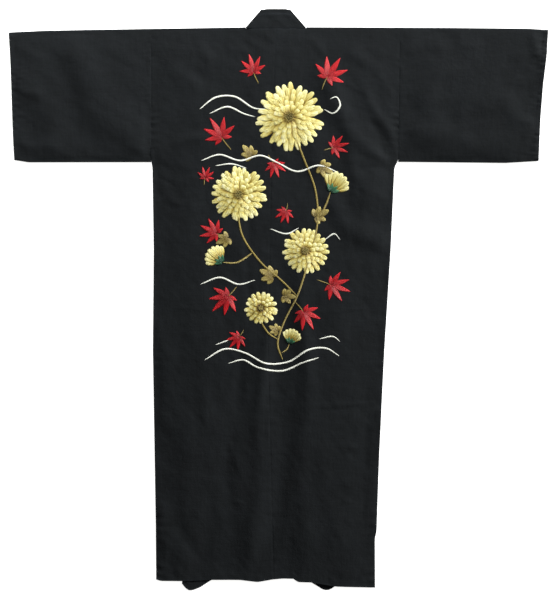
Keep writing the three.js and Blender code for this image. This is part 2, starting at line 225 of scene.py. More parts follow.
lie = {
    "loft": 2.6 * mm,  # how far the back stands over what is under it, between folds
    "mostRoom": 9.0 * mm,  # and the most that it does on a fold
    "troughFloor": 0.7 * mm,  # a trough ends this softly on what is under it
    "loftFade": 95 * mm,  # distances from an edge, over which the cloth rises to its loft and its folds
    "foldFade": 24 * mm,
    "stepWidth": 50 * mm,  # the back comes down past the right front's edge over this distance
    "sideSlope": 80 * mm,  # and down to its own sides
    "sleeveSlope": 90 * mm,  # a sleeve comes down from the armhole
    "seamSlope": 60 * mm,  # and to its lower seam
    "underSlope": 42 * mm,  # where its edge is rounded off over this distance
    "armAbove": 20 * mm,  # the armhole's end, where the side seam begins
    "armBelow": 30 * mm,
    "frontFrom": 160 * mm,  # the right front comes down onto the floor from this x
    "frontShort": 22 * mm,  # to this far from the side
    "hemSettle": 130 * mm,  # the back comes down onto the fronts over this distance from its hem
    "foldsAtHem": 0.6,
    "neckReach": 16 * mm,  # the back comes up to the collar over these distances
    "neckSlope": 42 * mm,
}


def ease(v, low, high):
    t = np.clip((v - low) / (high - low), 0, 1)
    return t * t * (3 - 2 * t)


def fading(v, low, high):  # 1 up to low, 0 from high
    return 1 - ease(v, low, high)


def awayFrom(reach, *edges):  # 0 at any of the edges, 1 where all of them are further away than reach
    nearest = edges[0]
    for edge in edges[1:]:
        nearest = np.minimum(nearest, edge)
    return ease(nearest, 0, reach)


def rise(v, reach):  # like ease from 0, but steepest at its start
    t = np.clip(v / reach, 0, 1)
    return t * (2 - t)


def blendOf(a, b, t):
    return a + (b - a) * t


def laidDrop(drop, x, hem, length):  # a row follows the top edge at one end and the hem at the other
    top = softLook(topEdge, x, "drop", "x") * fading(drop, 0, 0.2)
    bottom = (softLook(hem, x, "drop", "x", 3 * mm) - length) * ease(drop, 0.85 * length, length)
    return drop + top + bottom


def laidY(drop, x, hem, length):
    return shoulderY - laidDrop(drop, x, hem, length)


# how the cloth lies
foldLook = {
    "turn": 1.7,  # each fold wanders in its own way
    "wander": 0.35,  # of its width, to each side
    "wanderWaves": 5.1,
    "uneven": 0.28,  # of its height
    "unevenWaves": 3.3,
    "slim": 0.75,  # it widens from this share of its width at one end to
    "stout": 0.5,  # this much more at the other
    "begin": (-0.08, 0.22),  # its ends die away over these shares of its length
    "end": (0.74, 1.08),
}


def foldHeight(folds, x, drop):
    c = foldLook
    total = np.zeros_like(x)
    for number, row in enumerate(folds):
        f = dict(zip(foldColumns, row))
        ax, ad = (f["x1"] - f["x0"]) * mm, (f["drop1"] - f["drop0"]) * mm
        long = math.hypot(ax, ad)
        px, pd = x - f["x0"] * mm, drop - f["drop0"] * mm
        t = (px * ax + pd * ad) / long**2
        turn = number * c["turn"]
        wander = f["width"] * c["wander"] * np.sin(c["wanderWaves"] * t * (1 + long * 2) + turn)
        off = (px * ad - pd * ax) / long - mm * (4 * f["bow"] * t * (1 - t) + wander)
        uneven = 1 + c["uneven"] * np.sin(c["unevenWaves"] * t * (1 + long * 3) + 2 * turn)
        fade = ease(t, *c["begin"]) * fading(t, *c["end"])
        widened = ease(t, 0, 1) if number % 2 else fading(t, 0, 1)
        width = f["width"] * mm * (c["slim"] + c["stout"] * widened)
        total += f["height"] * mm * uneven * fade * np.exp(-((off / width) ** 2))
    return total


def scatteredFolds(seed, count, box, slant, longest):  # small creases that handling leaves
    draw = np.random.default_rng(seed)
    rows = []
    for _ in range(count):
        x, drop = draw.uniform(box[0], box[1]), draw.uniform(box[2], box[3])
        angle = math.radians(slant + draw.normal(0, 24))
        half = draw.uniform(0.25, 0.5) * longest
        ax, ad = half * math.sin(angle), half * math.cos(angle)
        height = draw.uniform(0.18, 0.42) * draw.choice([-1, 1])
        rows.append((x - ax, drop - ad, x + ax, drop + ad, draw.uniform(4, 9), height, draw.normal(0, 3)))
    return rows


def unevenness(x, y, size, seed, waves=6):  # smooth noise from a few slanting waves, about -1 to 1
    draw = np.random.default_rng(seed)
    total = 0 * x + 0 * y
    for _ in range(waves):
        angle, phase = draw.uniform(0, math.pi), draw.uniform(0, 2 * math.pi)
        long = size * draw.uniform(0.6, 1.5)
        total = total + np.sin((x * math.cos(angle) + y * math.sin(angle)) * 2 * math.pi / long + phase)
    return total / math.sqrt(waves / 2) / 1.6


def brokenUp(along, spacing, seed):  # 0 to 1, for what shows only on stretches of a seam
    return np.clip(0.4 + 0.8 * unevenness(along, 0 * along, spacing, seed, 5), 0, 1)


def crumpled(rows, x, drop, seed=0):  # rows of height in mm, size in metres, seed and number of waves
    return sum(high * mm * unevenness(x, drop, size, seed + own, waves) for high, size, own, waves in rows)


puckerLook = {  # spacing, reach and height in millimetres, and seed
    "centreSeam": (19, 18, 0.34, 11),
    "armhole": (16, 17, 0.6, 12),
    "side": (15, 20, 0.7, 13),
    "hem": (17, 14, 0.5, 14),
    "sleeveSeam": (16, 15, 0.85, 2),
    "cuff": (15, 19, 1.5, 3),
    "underSeam": (17, 14, 0.3, 4),
}


def puckers(seam, along, away, seed=0):  # gathers that a seam's stitches pull up
    spacing, reach, height, own = puckerLook[seam]
    gathers = unevenness(along, 0.4 * away, spacing * mm, seed + own, 5)
    strength = 0.45 + 0.6 * unevenness(along, 0 * along, spacing * mm * 6, seed + own + 1, 3)
    return height * mm * np.clip(strength, 0.1, 1.1) * gathers * np.exp(-away / (reach * mm))


def lofted(base, beneath, folds, x, drop, edgeAway, loose=1.0):
    lift = lie["loft"] * loose * ease(edgeAway, 0, lie["loftFade"])
    kept = blendOf(lie["foldsAtHem"], 1, loose)
    held = ease(edgeAway, 0, lie["foldFade"])
    lift = lift + foldHeight(folds, x, drop) * kept * held
    lift = (lift + np.sqrt(lift**2 + (lie["troughFloor"] * held) ** 2)) / 2
    return base + np.minimum(lift, beneath + lie["mostRoom"] - base)


def upperFrontUnder(x, drop):  # the right front lies on the left one and comes down at its side
    right = look(sideEdge, drop, "right")
    low, high = lie["frontFrom"], right - lie["frontShort"]
    return level["upperFront"] * fading(x, low, high)


seamLook = {
    "groove": 0.5 * mm,
    "grooveWidth": 4 * mm,
    "allowance": 12 * mm,  # the seam's turnings, pressed to one side
    "allowanceLift": 0.45 * mm,
    "hem": 17 * mm,
    "cuff": 14 * mm,
    "hemLift": 0.25 * mm,
    "stitchIn": 2.2 * mm,  # the stitches lie this far inside the hem's upper edge
    "stitchWidth": 1.3 * mm,
    "stitchDent": 0.22 * mm,
    "frontStitch": 15 * mm,  # the same on a front, which lies face down
    "frontDent": 0.3 * mm,
    "roll": 0.22 * mm,
    "rollWidth": 2.6 * mm,
    "underRoll": 0.6 * mm,  # the sleeve's lower seam rolls under
    "underRollWidth": 4.5 * mm,
}


def seamGroove(away, deep=1.0):
    return -deep * seamLook["groove"] * fading(away, 0, seamLook["grooveWidth"])


def allowanceRidge(off):  # off runs from the seam into the side that the turnings lie under
    wide = seamLook["allowance"]
    start = ease(off, 0.5 * mm, 2.5 * mm)
    return seamLook["allowanceLift"] * start * fading(off, wide - 1.5 * mm, wide + 2 * mm)


def stitchLine(away, place):
    return np.exp(-(((away - place) / seamLook["stitchWidth"]) ** 2))


def rolled(away):
    return seamLook["roll"] * fading(away, 0, seamLook["rollWidth"])


def hemStep(away, wide):  # the hem is turned up twice and stitched near its upper edge
    lift = seamLook["hemLift"] * fading(away, wide - 0.8 * mm, wide + 1.2 * mm)
    stitch = seamLook["stitchDent"] * stitchLine(away, wide - seamLook["stitchIn"])
    return lift - stitch - seamLook["roll"] * fading(away, 0, 2 * mm)


handling = scatteredFolds(5, 70, (-280, 230, 60, 1280), 4, 150)
underarmFolds = scatteredFolds(8, 16, (150, 275, 120, 420), 32, 110)


def backUnder(x, drop):
    left, right = look(sideEdge, drop, "left"), look(sideEdge, drop, "right")
    pastEdge = x - look(rightFrontEdge, drop, "x")
    pastArm = ease(drop - garment["armhole"], -lie["armAbove"], lie["armBelow"])
    side = blendOf(level["arm"], level["seam"], pastArm)
    middle = blendOf(level["sag"], level["back"], ease(pastEdge, -lie["stepWidth"], 0))
    sideAway = np.minimum(x - left, right - x)
    base = blendOf(side, middle, ease(sideAway, 0, lie["sideSlope"]))
    reach = lie["neckReach"]
    underCollar = ease(x - neckPoint["left"], 0, reach) * ease(neckPoint["right"] - x, 0, reach)
    underCollar = underCollar * fading(drop - garment["neckDip"], 0, lie["neckSlope"])
    base = blendOf(base, level["back"] + level["backNeck"], underCollar)
    beneath = cloth + upperFrontUnder(x, drop) * ease(pastEdge, 0, lie["stepWidth"])
    loose = ease(garment["hem"] - drop, 0, lie["hemSettle"])
    return lofted(base, beneath, bodyFolds, x, drop, np.minimum(drop, sideAway), loose)


def armGroove(drop):  # the armhole's seam is pulled in here and there
    return 0.15 + 0.5 * brokenUp(drop, 45 * mm, 18)


# what is too fine for the frame's own model
backLook = {
    "crumple": ((0.4, 0.19, 3, 6), (0.26, 0.07, 4, 9), (0.12, 0.03, 6, 12)),
    "pressedFrom": (0.9, 0.925),  # below this drop the right side is pressed back once more
    "pressedWidth": 27 * mm,
    "pressedWander": 5 * mm,
    "pressedSlope": 7 * mm,
    "pressedLift": 0.95 * mm,
    "tiltFrom": (0.9, 0.915),  # and its first stretch stands up
    "tiltTo": (1.0, 1.06),
    "tiltWidth": 34 * mm,
    "tiltLift": 2.8 * mm,
}


def rightSidePressed(x, drop, right):
    c = backLook
    uneven = 0.65 + 0.35 * unevenness(drop, 0 * drop, 110 * mm, 15)
    edge = c["pressedWidth"] + c["pressedWander"] * unevenness(drop, 0 * drop, 160 * mm, 19)
    slope = c["pressedSlope"]
    strip = fading(right - x, edge - slope, edge + slope) * ease(drop, *c["pressedFrom"])
    tilt = np.clip(1 - (right - x) / c["tiltWidth"], 0, 1)
    tilt = tilt * ease(drop, *c["tiltFrom"]) * fading(drop, *c["tiltTo"])
    return c["pressedLift"] * strip * uneven * (1 - 0.6 * ease(drop, 1.1, 1.3)) + c["tiltLift"] * tilt


def backDetail(x, drop):
    left, right = look(sideEdge, drop, "left"), look(sideEdge, drop, "right")
    sideAway = np.maximum(np.minimum(x - left, right - x), 0)
    hemAway = garment["hem"] - drop
    off = x - look(centreSeam, drop, "x")
    calm = ease(sideAway, 0, 12 * mm) * ease(drop, 3 * mm, 20 * mm)
    fine = foldHeight(handling, x, drop) + foldHeight(underarmFolds, x, drop)
    detail = (fine + crumpled(backLook["crumple"], x, drop)) * calm
    detail += seamGroove(np.abs(off), 0.3) + 0.5 * allowanceRidge(off) * brokenUp(drop, 90 * mm, 10)
    detail += puckers("centreSeam", drop, np.abs(off))
    sewn = fading(drop, garment["armhole"] - 6 * mm, garment["armhole"] + 6 * mm)
    detail += (seamGroove(sideAway, armGroove(drop)) + puckers("armhole", drop, sideAway)) * sewn
    sidePull = puckers("side", drop, sideAway) * (0.4 + ease(drop, 1.05, 1.2))
    turning = seamLook["allowance"]
    turned = 0.5 * seamLook["allowanceLift"] * fading(sideAway, turning, turning + 4 * mm)
    turned = turned * (0.4 + 0.6 * brokenUp(drop, 120 * mm, 17)) * (1 + 1.6 * ease(drop, 1.1, 1.22))
    detail += (sidePull + turned - rolled(sideAway)) * (1 - sewn) + rightSidePressed(x, drop, right)
    hemPull = puckers("hem", x, np.abs(hemAway - seamLook["hem"]))
    hemShown = 0.35 + 0.65 * brokenUp(x, 60 * mm, 16)
    return detail + hemStep(hemAway, seamLook["hem"]) * hemShown + hemPull * ease(sideAway, 0, 10 * mm)


def sleeveUnder(side, x, drop):
    edge, cuff = look(sideEdge, drop, side), look(cuffEdge, drop, side)
    fromBody = np.abs(x - edge)
    bottom = look(sleeveBottom, x, "drop", "x")
    base = blendOf(level["arm"], level["sleeve"], ease(fromBody, 0, lie["sleeveSlope"]))
    bottomAway = np.maximum(bottom - drop, 0)
    base = blendOf(level["seam"], base, rise(bottomAway, lie["seamSlope"]))
    edgeAway = np.minimum(drop, np.minimum(fromBody, np.abs(cuff - x)))
    laid = lofted(base, cloth, sleeveFolds[side], x, drop, np.minimum(edgeAway, 5 * bottomAway))
    return base + (laid - base) * rise(bottomAway, lie["underSlope"])


sleeveLook = {
    "seed": {"left": 20, "right": 30},
    "crumple": ((0.42, 0.13, 0, 6), (0.22, 0.05, 1, 9)),
    "cuffLift": {"left": 0, "right": 3.0 * mm},  # that cuff's edge stands up below its top corner
    "cuffLiftWidth": 22 * mm,
    "cuffLiftFrom": (30 * mm, 70 * mm),
    "cuffLiftTo": (110 * mm, 170 * mm),
    "cuffLoft": 0.9 * mm,
    "cuffLoftWidth": 19 * mm,
}


def sleeveDetail(side, x, drop):
    c = sleeveLook
    seed = c["seed"][side]
    fromBody = np.abs(x - look(sideEdge, drop, side))
    cuffAway = np.maximum(np.abs(look(cuffEdge, drop, side) - x), 0)
    bottomAway = np.maximum(look(sleeveBottom, x, "drop", "x") - drop, 0)
    detail = crumpled(c["crumple"], x, drop, seed) * awayFrom(14 * mm, bottomAway, drop, fromBody)
    detail += seamGroove(fromBody, armGroove(drop))
    detail += 0.6 * allowanceRidge(fromBody) * brokenUp(drop, 34 * mm, seed + 6)
    detail += puckers("sleeveSeam", drop, fromBody, seed) + puckers("cuff", drop, cuffAway, seed)
    detail += c["cuffLoft"] * np.exp(-cuffAway / c["cuffLoftWidth"])
    detail += puckers("underSeam", x, bottomAway, seed) * ease(fromBody, 0, 20 * mm)
    detail -= seamLook["underRoll"] * fading(bottomAway, 0, seamLook["underRollWidth"])
    stretch = ease(drop, *c["cuffLiftFrom"]) * fading(drop, *c["cuffLiftTo"])
    detail += c["cuffLift"][side] * np.exp(-cuffAway / c["cuffLiftWidth"]) * stretch
    return detail + hemStep(cuffAway, seamLook["cuff"]) * (0.4 + 0.6 * brokenUp(drop, 50 * mm, seed + 7))


frontLook = {  # height and size of its soft creases, which lift it off what it lies on
    "creases": (0.42 * mm, 0.17),
    "creaseGroups": 0.33,
    "fine": (0.1 * mm, 0.045),
}


def frontDetail(x, drop, seed):
    c = frontLook
    high, size = c["creases"]
    fineHigh, fineSize = c["fine"]
    creases = np.abs(unevenness(x, drop, size, seed)) * unevenness(x, drop, c["creaseGroups"], seed + 1)
    fine = 0.5 + 0.5 * unevenness(x, drop, fineSize, seed + 2, 9)
    return high * np.clip(creases, 0, 1) + fineHigh * np.clip(fine, 0, 1)


# making meshes
def pick(obj):
    bpy.ops.object.select_all(action="DESELECT")
    obj.select_set(True)
    bpy.context.view_layer.objects.active = obj


def editAll(obj, operator, **settings):  # works on all of a mesh in edit mode
    pick(obj)
    bpy.ops.object.mode_set(mode="EDIT")
    bpy.ops.mesh.select_all(action="SELECT")
    operator(**settings)
    bpy.ops.object.mode_set(mode="OBJECT")


def spaced(long, step, fineStart=True, fineEnd=True):  # 0 to 1, with finer steps at the chosen ends
    fine = np.array([0, 0.5, 1.1, 1.9, 3.0, 4.6, 7.0, 10.5]) * mm
    start = fine if fineStart else fine[:1]
    end = long - fine[::-1] if fineEnd else np.array([long])
    count = max(2, round((end[0] - start[-1]) / step))
    middle = np.linspace(start[-1], end[0], count + 1)[1:-1]
    return np.concatenate([start, middle, end]) / long


# places and flat are rows of points. a point that isn't a number is left out
def clothGrid(name, places, flat, wearAndHighlight):
    rows, columns = places.shape[:2]
    bpy.ops.object.select_all(action="DESELECT")
    bpy.ops.mesh.primitive_grid_add(x_subdivisions=columns - 1, y_subdivisions=rows - 1, size=1)
    sheet = bpy.context.object
    sheet.name = sheet.data.name = name
    cut = ~np.isfinite(places[..., 0])
    shown = np.where(cut[..., None], 0, places)
    mesh = sheet.data
    mesh.vertices.foreach_set("co", shown.reshape(-1).astype(np.float32))
    greyWearAndHighlight = mesh.attributes.new("wearAndHighlight", "FLOAT", "POINT")
    greyWearAndHighlight.data.foreach_set("value", np.where(cut, 0, wearAndHighlight).reshape(-1).astype(np.float32))
    corner = np.zeros(len(mesh.loops), np.int32)
    mesh.loops.foreach_get("vertex_index", corner)
    mesh.uv_layers.active.data.foreach_set("uv", flat.reshape(-1, 2)[corner].reshape(-1).astype(np.float32))
    if cut.any():
        bpy.ops.object.mode_set(mode="EDIT")
        bpy.ops.mesh.select_mode(type="VERT")
        bpy.ops.mesh.select_all(action="DESELECT")
        bpy.ops.object.mode_set(mode="OBJECT")
        mesh.vertices.foreach_set("select", cut.reshape(-1))
        bpy.ops.object.mode_set(mode="EDIT")
        bpy.ops.mesh.delete(type="VERT")
        bpy.ops.object.mode_set(mode="OBJECT")
    mesh.update()
    return sheet


def thicken(sheet, thickness, rounded=0.0):
    editAll(sheet, bpy.ops.mesh.remove_doubles, threshold=0.01 * mm)
    bpy.ops.object.modifier_add(type="SOLIDIFY")
    wall = sheet.modifiers[-1]
    wall.thickness = thickness
    wall.offset = 0
    wall.use_even_offset = True
    bpy.ops.object.modifier_apply(modifier=wall.name)
    if rounded:
        bpy.ops.object.modifier_add(type="BEVEL")
        bevel = sheet.modifiers[-1]
        bevel.width = rounded
        bevel.segments = 2
        bevel.limit_method = "ANGLE"
        bevel.angle_limit = math.radians(60)
        bpy.ops.object.modifier_apply(modifier=bevel.name)
    bpy.ops.object.shade_smooth_by_angle(angle=math.radians(50))


def faceUp(sheet, isBack):  # turns the faces round if the back layer's look down
    if sum(p.normal.z * p.area for p in sheet.data.polygons if isBack(p.center)) < 0:
        editAll(sheet, bpy.ops.mesh.flip_normals)


def finishPiece(piece, material, *nodes):
    piece.data.materials.clear()
    piece.data.materials.append(material)
    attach(piece, "root")
    if nodes:
        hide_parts(*nodes)
    return piece


# materials
def linear(hexText):
    values = [int(hexText[i : i + 2], 16) / 255 for i in (1, 3, 5)]
    return [v / 12.92 if v <= 0.04045 else ((v + 0.055) / 1.055) ** 2.4 for v in values] + [1.0]


def addNode(tree, kind, settings=None, links=None):  # a link from a node comes from its first output
    node = tree.nodes.new("ShaderNode" + kind)
    for name, value in (settings or {}).items():
        if isinstance(name, int) or name in node.inputs:
            node.inputs[name].default_value = value
        else:
            setattr(node, name, value)
    for name, source in (links or {}).items():
        output = source.outputs[0] if isinstance(source, bpy.types.Node) else source
        tree.links.new(output, node.inputs[name])
    return node


def newMaterial(name, finish):  # finish has the shader's own values, by socket
    material = bpy.data.materials.new(name)
    material.use_nodes = True
    shader = material.node_tree.nodes["Principled BSDF"]
    for socket, value in finish.items():
        shader.inputs[socket].default_value = value
    return material, material.node_tree, shader


def setRamp(node, stops):
    ramp = node.color_ramp
    while len(ramp.elements) < len(stops):
        ramp.elements.new(0.5)
    for element, (place, colour) in zip(ramp.elements, stops):
        element.position = place
        element.color = linear(colour)
    return node


cottonLook = {
    "tones": ((0.3, "#0c0e0f"), (0.7, "#16191b")),
    # grey of worn edges and folds, also used for a painted highlight on the collar
    "greyWearAndHighlight": "#23272b",
    "threadPitch": 1.3 * mm,  # broadcloth has a thread about every 0.4 mm, which is too fine to show here
    "threadHeight": 0.25 * mm,
    "slubs": ((260, 18, 1), (22, 300, 1)),  # thick threads across and along, this many a metre
    "cloud": 9,  # the dye's unevenness, and small creases from wear and folding, this many a metre
    "crumple": 34,
    "crumpleHeight": 1.6 * mm,
    "finish": {
        "Roughness": 0.86,
        "Specular IOR Level": 0.07,
        "Sheen Weight": 0.05,
        "Sheen Roughness": 0.5,
    },
}


def blackCotton():
    # piece-dyed black broadcloth: matt, with slubs along both threads and a grey bloom on folded edges. The
    # same grey also paints a highlight along the collar's crease
    c = cottonLook
    made, tree, shader = newMaterial("blackCottonBroadcloth", c["finish"])
    flat = addNode(tree, "TexCoord").outputs["UV"]
    turn = 2 * math.pi / c["threadPitch"]
    scaled = addNode(tree, "VectorMath", {"operation": "SCALE", "Scale": turn}, {0: flat})
    parts = addNode(tree, "SeparateXYZ", None, {0: scaled})
    warp, weft = [addNode(tree, "Math", {"operation": "SINE"}, {0: parts.outputs[i]}) for i in (0, 1)]
    weave = addNode(tree, "Math", {"operation": "MULTIPLY"}, {0: warp, 1: weft})
    slubs = []
    for stretch in c["slubs"]:
        stretched = addNode(tree, "Mapping", {"Scale": stretch}, {"Vector": flat})
        slubs.append(addNode(tree, "TexNoise", {"Scale": 1.0, "Detail": 3.0}, {"Vector": stretched}))
    slub = addNode(tree, "Math", {"operation": "ADD"}, {0: slubs[0], 1: slubs[1]})
    dyed = {"Scale": c["cloud"], "Detail": 5.0, "Roughness": 0.6}
    cloud = addNode(tree, "TexNoise", dyed, {"Vector": flat})
    both = addNode(tree, "Math", {"operation": "MULTIPLY_ADD", 1: 0.9}, {0: slub, 2: cloud})
    shade = addNode(tree, "Math", {"operation": "MULTIPLY", 1: 0.36}, {0: both})
    tone = setRamp(addNode(tree, "ValToRGB", None, {"Fac": shade}), c["tones"])
    # the attribute mixes in grey for real wear, and on the collar for a painted highlight
    wearAndHighlight = addNode(tree, "Attribute", {"attribute_name": "wearAndHighlight"}).outputs["Fac"]
    patchy = addNode(tree, "Math", {"operation": "MULTIPLY"}, {0: wearAndHighlight, 1: cloud})
    colour = addNode(tree, "Mix", {"data_type": "RGBA", 7: linear(c["greyWearAndHighlight"])}, {0: patchy, 6: tone})
    tree.links.new(colour.outputs[2], shader.inputs["Base Color"])
    relief = addNode(tree, "Math", {"operation": "MULTIPLY_ADD", 1: 0.35}, {0: weave, 2: slub})
    handled = {"Scale": c["crumple"], "Detail": 4.0, "Roughness": 0.62}
    crumple = addNode(tree, "TexNoise", handled, {"Vector": flat})
    creased = addNode(tree, "Bump", {"Strength": 0.8, "Distance": c["crumpleHeight"]}, {"Height": crumple})
    woven = {"Height": relief, "Normal": creased}
    bump = addNode(tree, "Bump", {"Strength": 0.22, "Distance": c["threadHeight"]}, woven)
    tree.links.new(bump.outputs["Normal"], shader.inputs["Normal"])
    return made


cotton = blackCotton()

# the body panels. each is one cloth: up the front, over the shoulder in a fold and down the back
panelLook = {
    "columnStep": 5.2 * mm,
    "rowStep": 3.1 * mm,
    "frontStep": 9.0 * mm,
    "turnRows": 10,
    "turnWear": 0.8,
    "calmEdge": 16 * mm,  # a front lies flat this near to its seams
    "seamGap": -0.1 * mm,  # sewn edges meet, a little into each other
}

# the pieces are cut from different stretches of the bolt, so their weave doesn't match across a seam
flatShift = {
    "bodyLeft": 0.31,
    "bodyRight": 1.23,
    "sleeveLeft": 2.17,
    "sleeveRight": 2.94,
    "overlapLeft": 3.71,
    "overlapRight": 4.38,
}


def rowsOver(first, last, step, hem):  # drops down a layer, finer at both ends and round the hem's stitches
    drops = first + spaced(last - first, step) * (last - first)
    extra = last - hem + np.array([-2.4, -1.2, 0, 1.2, 2.2, 3.2, 4.4]) * mm
    return np.unique(np.round(np.concatenate([drops, extra]), 7))


def collarSeam(side, drop):
    end = look(overlapEdge, garment["collarEnd"], side) + sign[side] * garment["collarWidth"]
    dip = garment["neckDip"]
    return blendOf(neckPoint[side], end, np.clip((drop - dip) / (garment["collarEnd"] - dip), 0, 1))


def frontInside(side, drop):  # the front's inner edge: the collar's seam, and then the overlap's
    seam, neck = look(overlapSeam, drop, side), collarSeam(side, drop)
    return np.minimum(seam, neck) if side == "left" else np.maximum(seam, neck)


def turnRows(x, under, over, count):  # a half turn of cloth from one layer to the other
    angle = np.linspace(-math.pi / 2, math.pi / 2, count + 1)[:, None]
    radius = (over + cloth - under) / 2
    r = radius - cloth / 2
    y = laidY(0 * x, x, backHem, garment["hem"]) - radius + r * np.cos(angle)
    return y, under + radius + r * np.sin(angle), angle * r


def layers(shift, *groups):  # each group is x, y, z, flat across, flat down and wear
    columns = [np.vstack([np.broadcast_to(g[i], g[2].shape) for g in groups]) for i in range(6)]
    return np.dstack(columns[:3]), np.dstack([shift - columns[3], columns[4]]), columns[5]


def edgeWear(*distances):
    return np.clip(sum(np.exp(-np.maximum(d, 0) / (2.2 * mm)) for d in distances), 0, 1)


def finishCloth(name, node, isBack, *groups):
    panel = clothGrid(name, *layers(flatShift[name], *groups))
    faceUp(panel, isBack)
    thicken(panel, garment["shownCloth"])
    print(name, "made:", len(panel.data.vertices), "vertices")
    return finishPiece(panel, cotton, node)


def makeBodyPanel(side):
    p = panelLook
    s = sign[side]
    hem, dip = garment["hem"], garment["neckDip"]
    neckSide = neckPoint[side] + s * 2.6 * mm
    outerX = softLook(sideEdge, dip, side)
    innerX = softLook(centreSeam, dip, "x") + s * p["seamGap"] / 2
    share = (neckSide - outerX) / (innerX - outerX)
    wide = abs(innerX - outerX)
    outer = spaced(wide * share, p["columnStep"], True, False) * share
    inner = share + spaced(wide * (1 - share), p["columnStep"], False, True) * (1 - share)
    across = np.concatenate([outer, inner[1:]])[None, :]
    besideNeck = np.where(across <= share + 1e-6, across / share, np.nan)
    frontLevel = upperFrontUnder if side == "right" else lambda x, drop: 0 * x

    drop = rowsOver(dip, hem, p["rowStep"], seamLook["hem"])[:, None]
    seamX = softLook(centreSeam, drop, "x") + s * p["seamGap"] / 2
    sideX = softLook(sideEdge, drop, side)
    x = blendOf(sideX, seamX, across)
    neckAway = np.where(across > share + 1e-6, drop - dip, 1.0)
    z = backUnder(x, drop) + cloth / 2 + backDetail(x, drop) + seamGroove(neckAway, 0.6)
    freeSide = np.where(drop > garment["armhole"], np.abs(x - sideX), 1.0)
    wearAndHighlight = edgeWear(hem - drop + 0 * z, freeSide, neckAway)
    back = (x, laidY(drop, x, backHem, hem), z, across * wide, drop, wearAndHighlight)

    x = blendOf(outerX, neckSide, besideNeck)
    y, z, along = turnRows(x, frontLevel(x, 0 * x), backUnder(x, 0 * x), p["turnRows"])
    turned = (x, y, z, across * wide, along, 0 * z + p["turnWear"])

    drop = rowsOver(4.6 * mm, hem, p["frontStep"], seamLook["hem"])[::-1, None]
    sideX = softLook(sideEdge, drop, side)
    insideX = frontInside(side, drop) + s * p["seamGap"] / 2
    x = blendOf(sideX, insideX, besideNeck)
    sideAway, insideAway = np.abs(x - sideX), np.abs(x - insideX)
    calm = awayFrom(p["calmEdge"], sideAway, insideAway, drop)
    z = frontLevel(x, drop) + cloth / 2 + frontDetail(x, drop, 40 + s) * calm - 0.6 * seamGroove(insideAway)
    z = z + seamLook["frontDent"] * stitchLine(hem - drop, seamLook["frontStitch"])
    z = z + rolled(sideAway) * ease(drop, 0.31, 0.34)
    wearAndHighlight = edgeWear(hem - drop, sideAway) + 0.4 * edgeWear(insideAway)
    front = (x, laidY(drop, x, frontHems[side], hem), z, across * wide, -drop, wearAndHighlight)
    name = "body" + side.capitalize()
    return finishCloth(name, "body_" + side, lambda centre: centre.z > 3.3 * mm, front, turned, back)


# the sleeves
def makeSleeve(side):
    p = panelLook
    long = garment["sleeveHem"]
    wide = abs(look(cuffEdge, 0, side) - look(sideEdge, 0, side))
    across = spaced(wide, p["columnStep"])
    cuffRows = 1 - (wide - seamLook["cuff"] + np.array([-2.4, -1.2, 1.2, 2.2, 3.2]) * mm) / wide
    across = np.unique(np.round(np.concatenate([across, cuffRows]), 7))[None, :]

    def placeX(drop):
        cuffX = softLook(cuffEdge, drop, side)
        sewnDrop = np.minimum(drop, garment["armhole"] - 8 * mm)
        bodyX = softLook(sideEdge, sewnDrop, side) + sign[side] * p["seamGap"]
        return cuffX, bodyX, blendOf(cuffX, bodyX, across)

    drop = rowsOver(5 * mm, long, p["rowStep"], seamLook["hem"])[:, None]
    cuffX, bodyX, x = placeX(drop)
    z = sleeveUnder(side, x, drop) + cloth / 2 + sleeveDetail(side, x, drop)
    wearAndHighlight = edgeWear(np.abs(x - cuffX))
    back = (x, laidY(drop, x, sleeveBottom, long), z, across * wide, drop, wearAndHighlight)

    cuffX, bodyX, x = placeX(np.zeros((1, 1)))
    y, z, along = turnRows(x, 0 * x, sleeveUnder(side, x, 0 * x), p["turnRows"])
    turned = (x, y, z, across * wide, along, 0 * z + p["turnWear"])

    drop = rowsOver(5 * mm, long, p["frontStep"], seamLook["hem"])[::-1, None]
    cuffX, bodyX, x = placeX(drop)
    cuffAway, bodyAway = np.abs(x - cuffX), np.abs(x - bodyX)
    calm = awayFrom(p["calmEdge"], cuffAway, bodyAway, drop, long - drop)
    z = cloth / 2 + frontDetail(x, drop, 50 + sign[side]) * calm - 0.6 * seamGroove(bodyAway)
    z = z + seamLook["frontDent"] * stitchLine(cuffAway, seamLook["cuff"] - seamLook["stitchIn"])
    z = z + rolled(long - drop)
    wearAndHighlight = edgeWear(cuffAway, long - drop + 0 * x) + 0.4 * edgeWear(bodyAway)
    front = (x, laidY(drop, x, sleeveBottom, long), z, across * wide, -drop, wearAndHighlight)
    name = "sleeve" + side.capitalize()
    return finishCloth(name, "sleeve_" + side, lambda centre: centre.z > 2.4 * mm, front, turned, back)


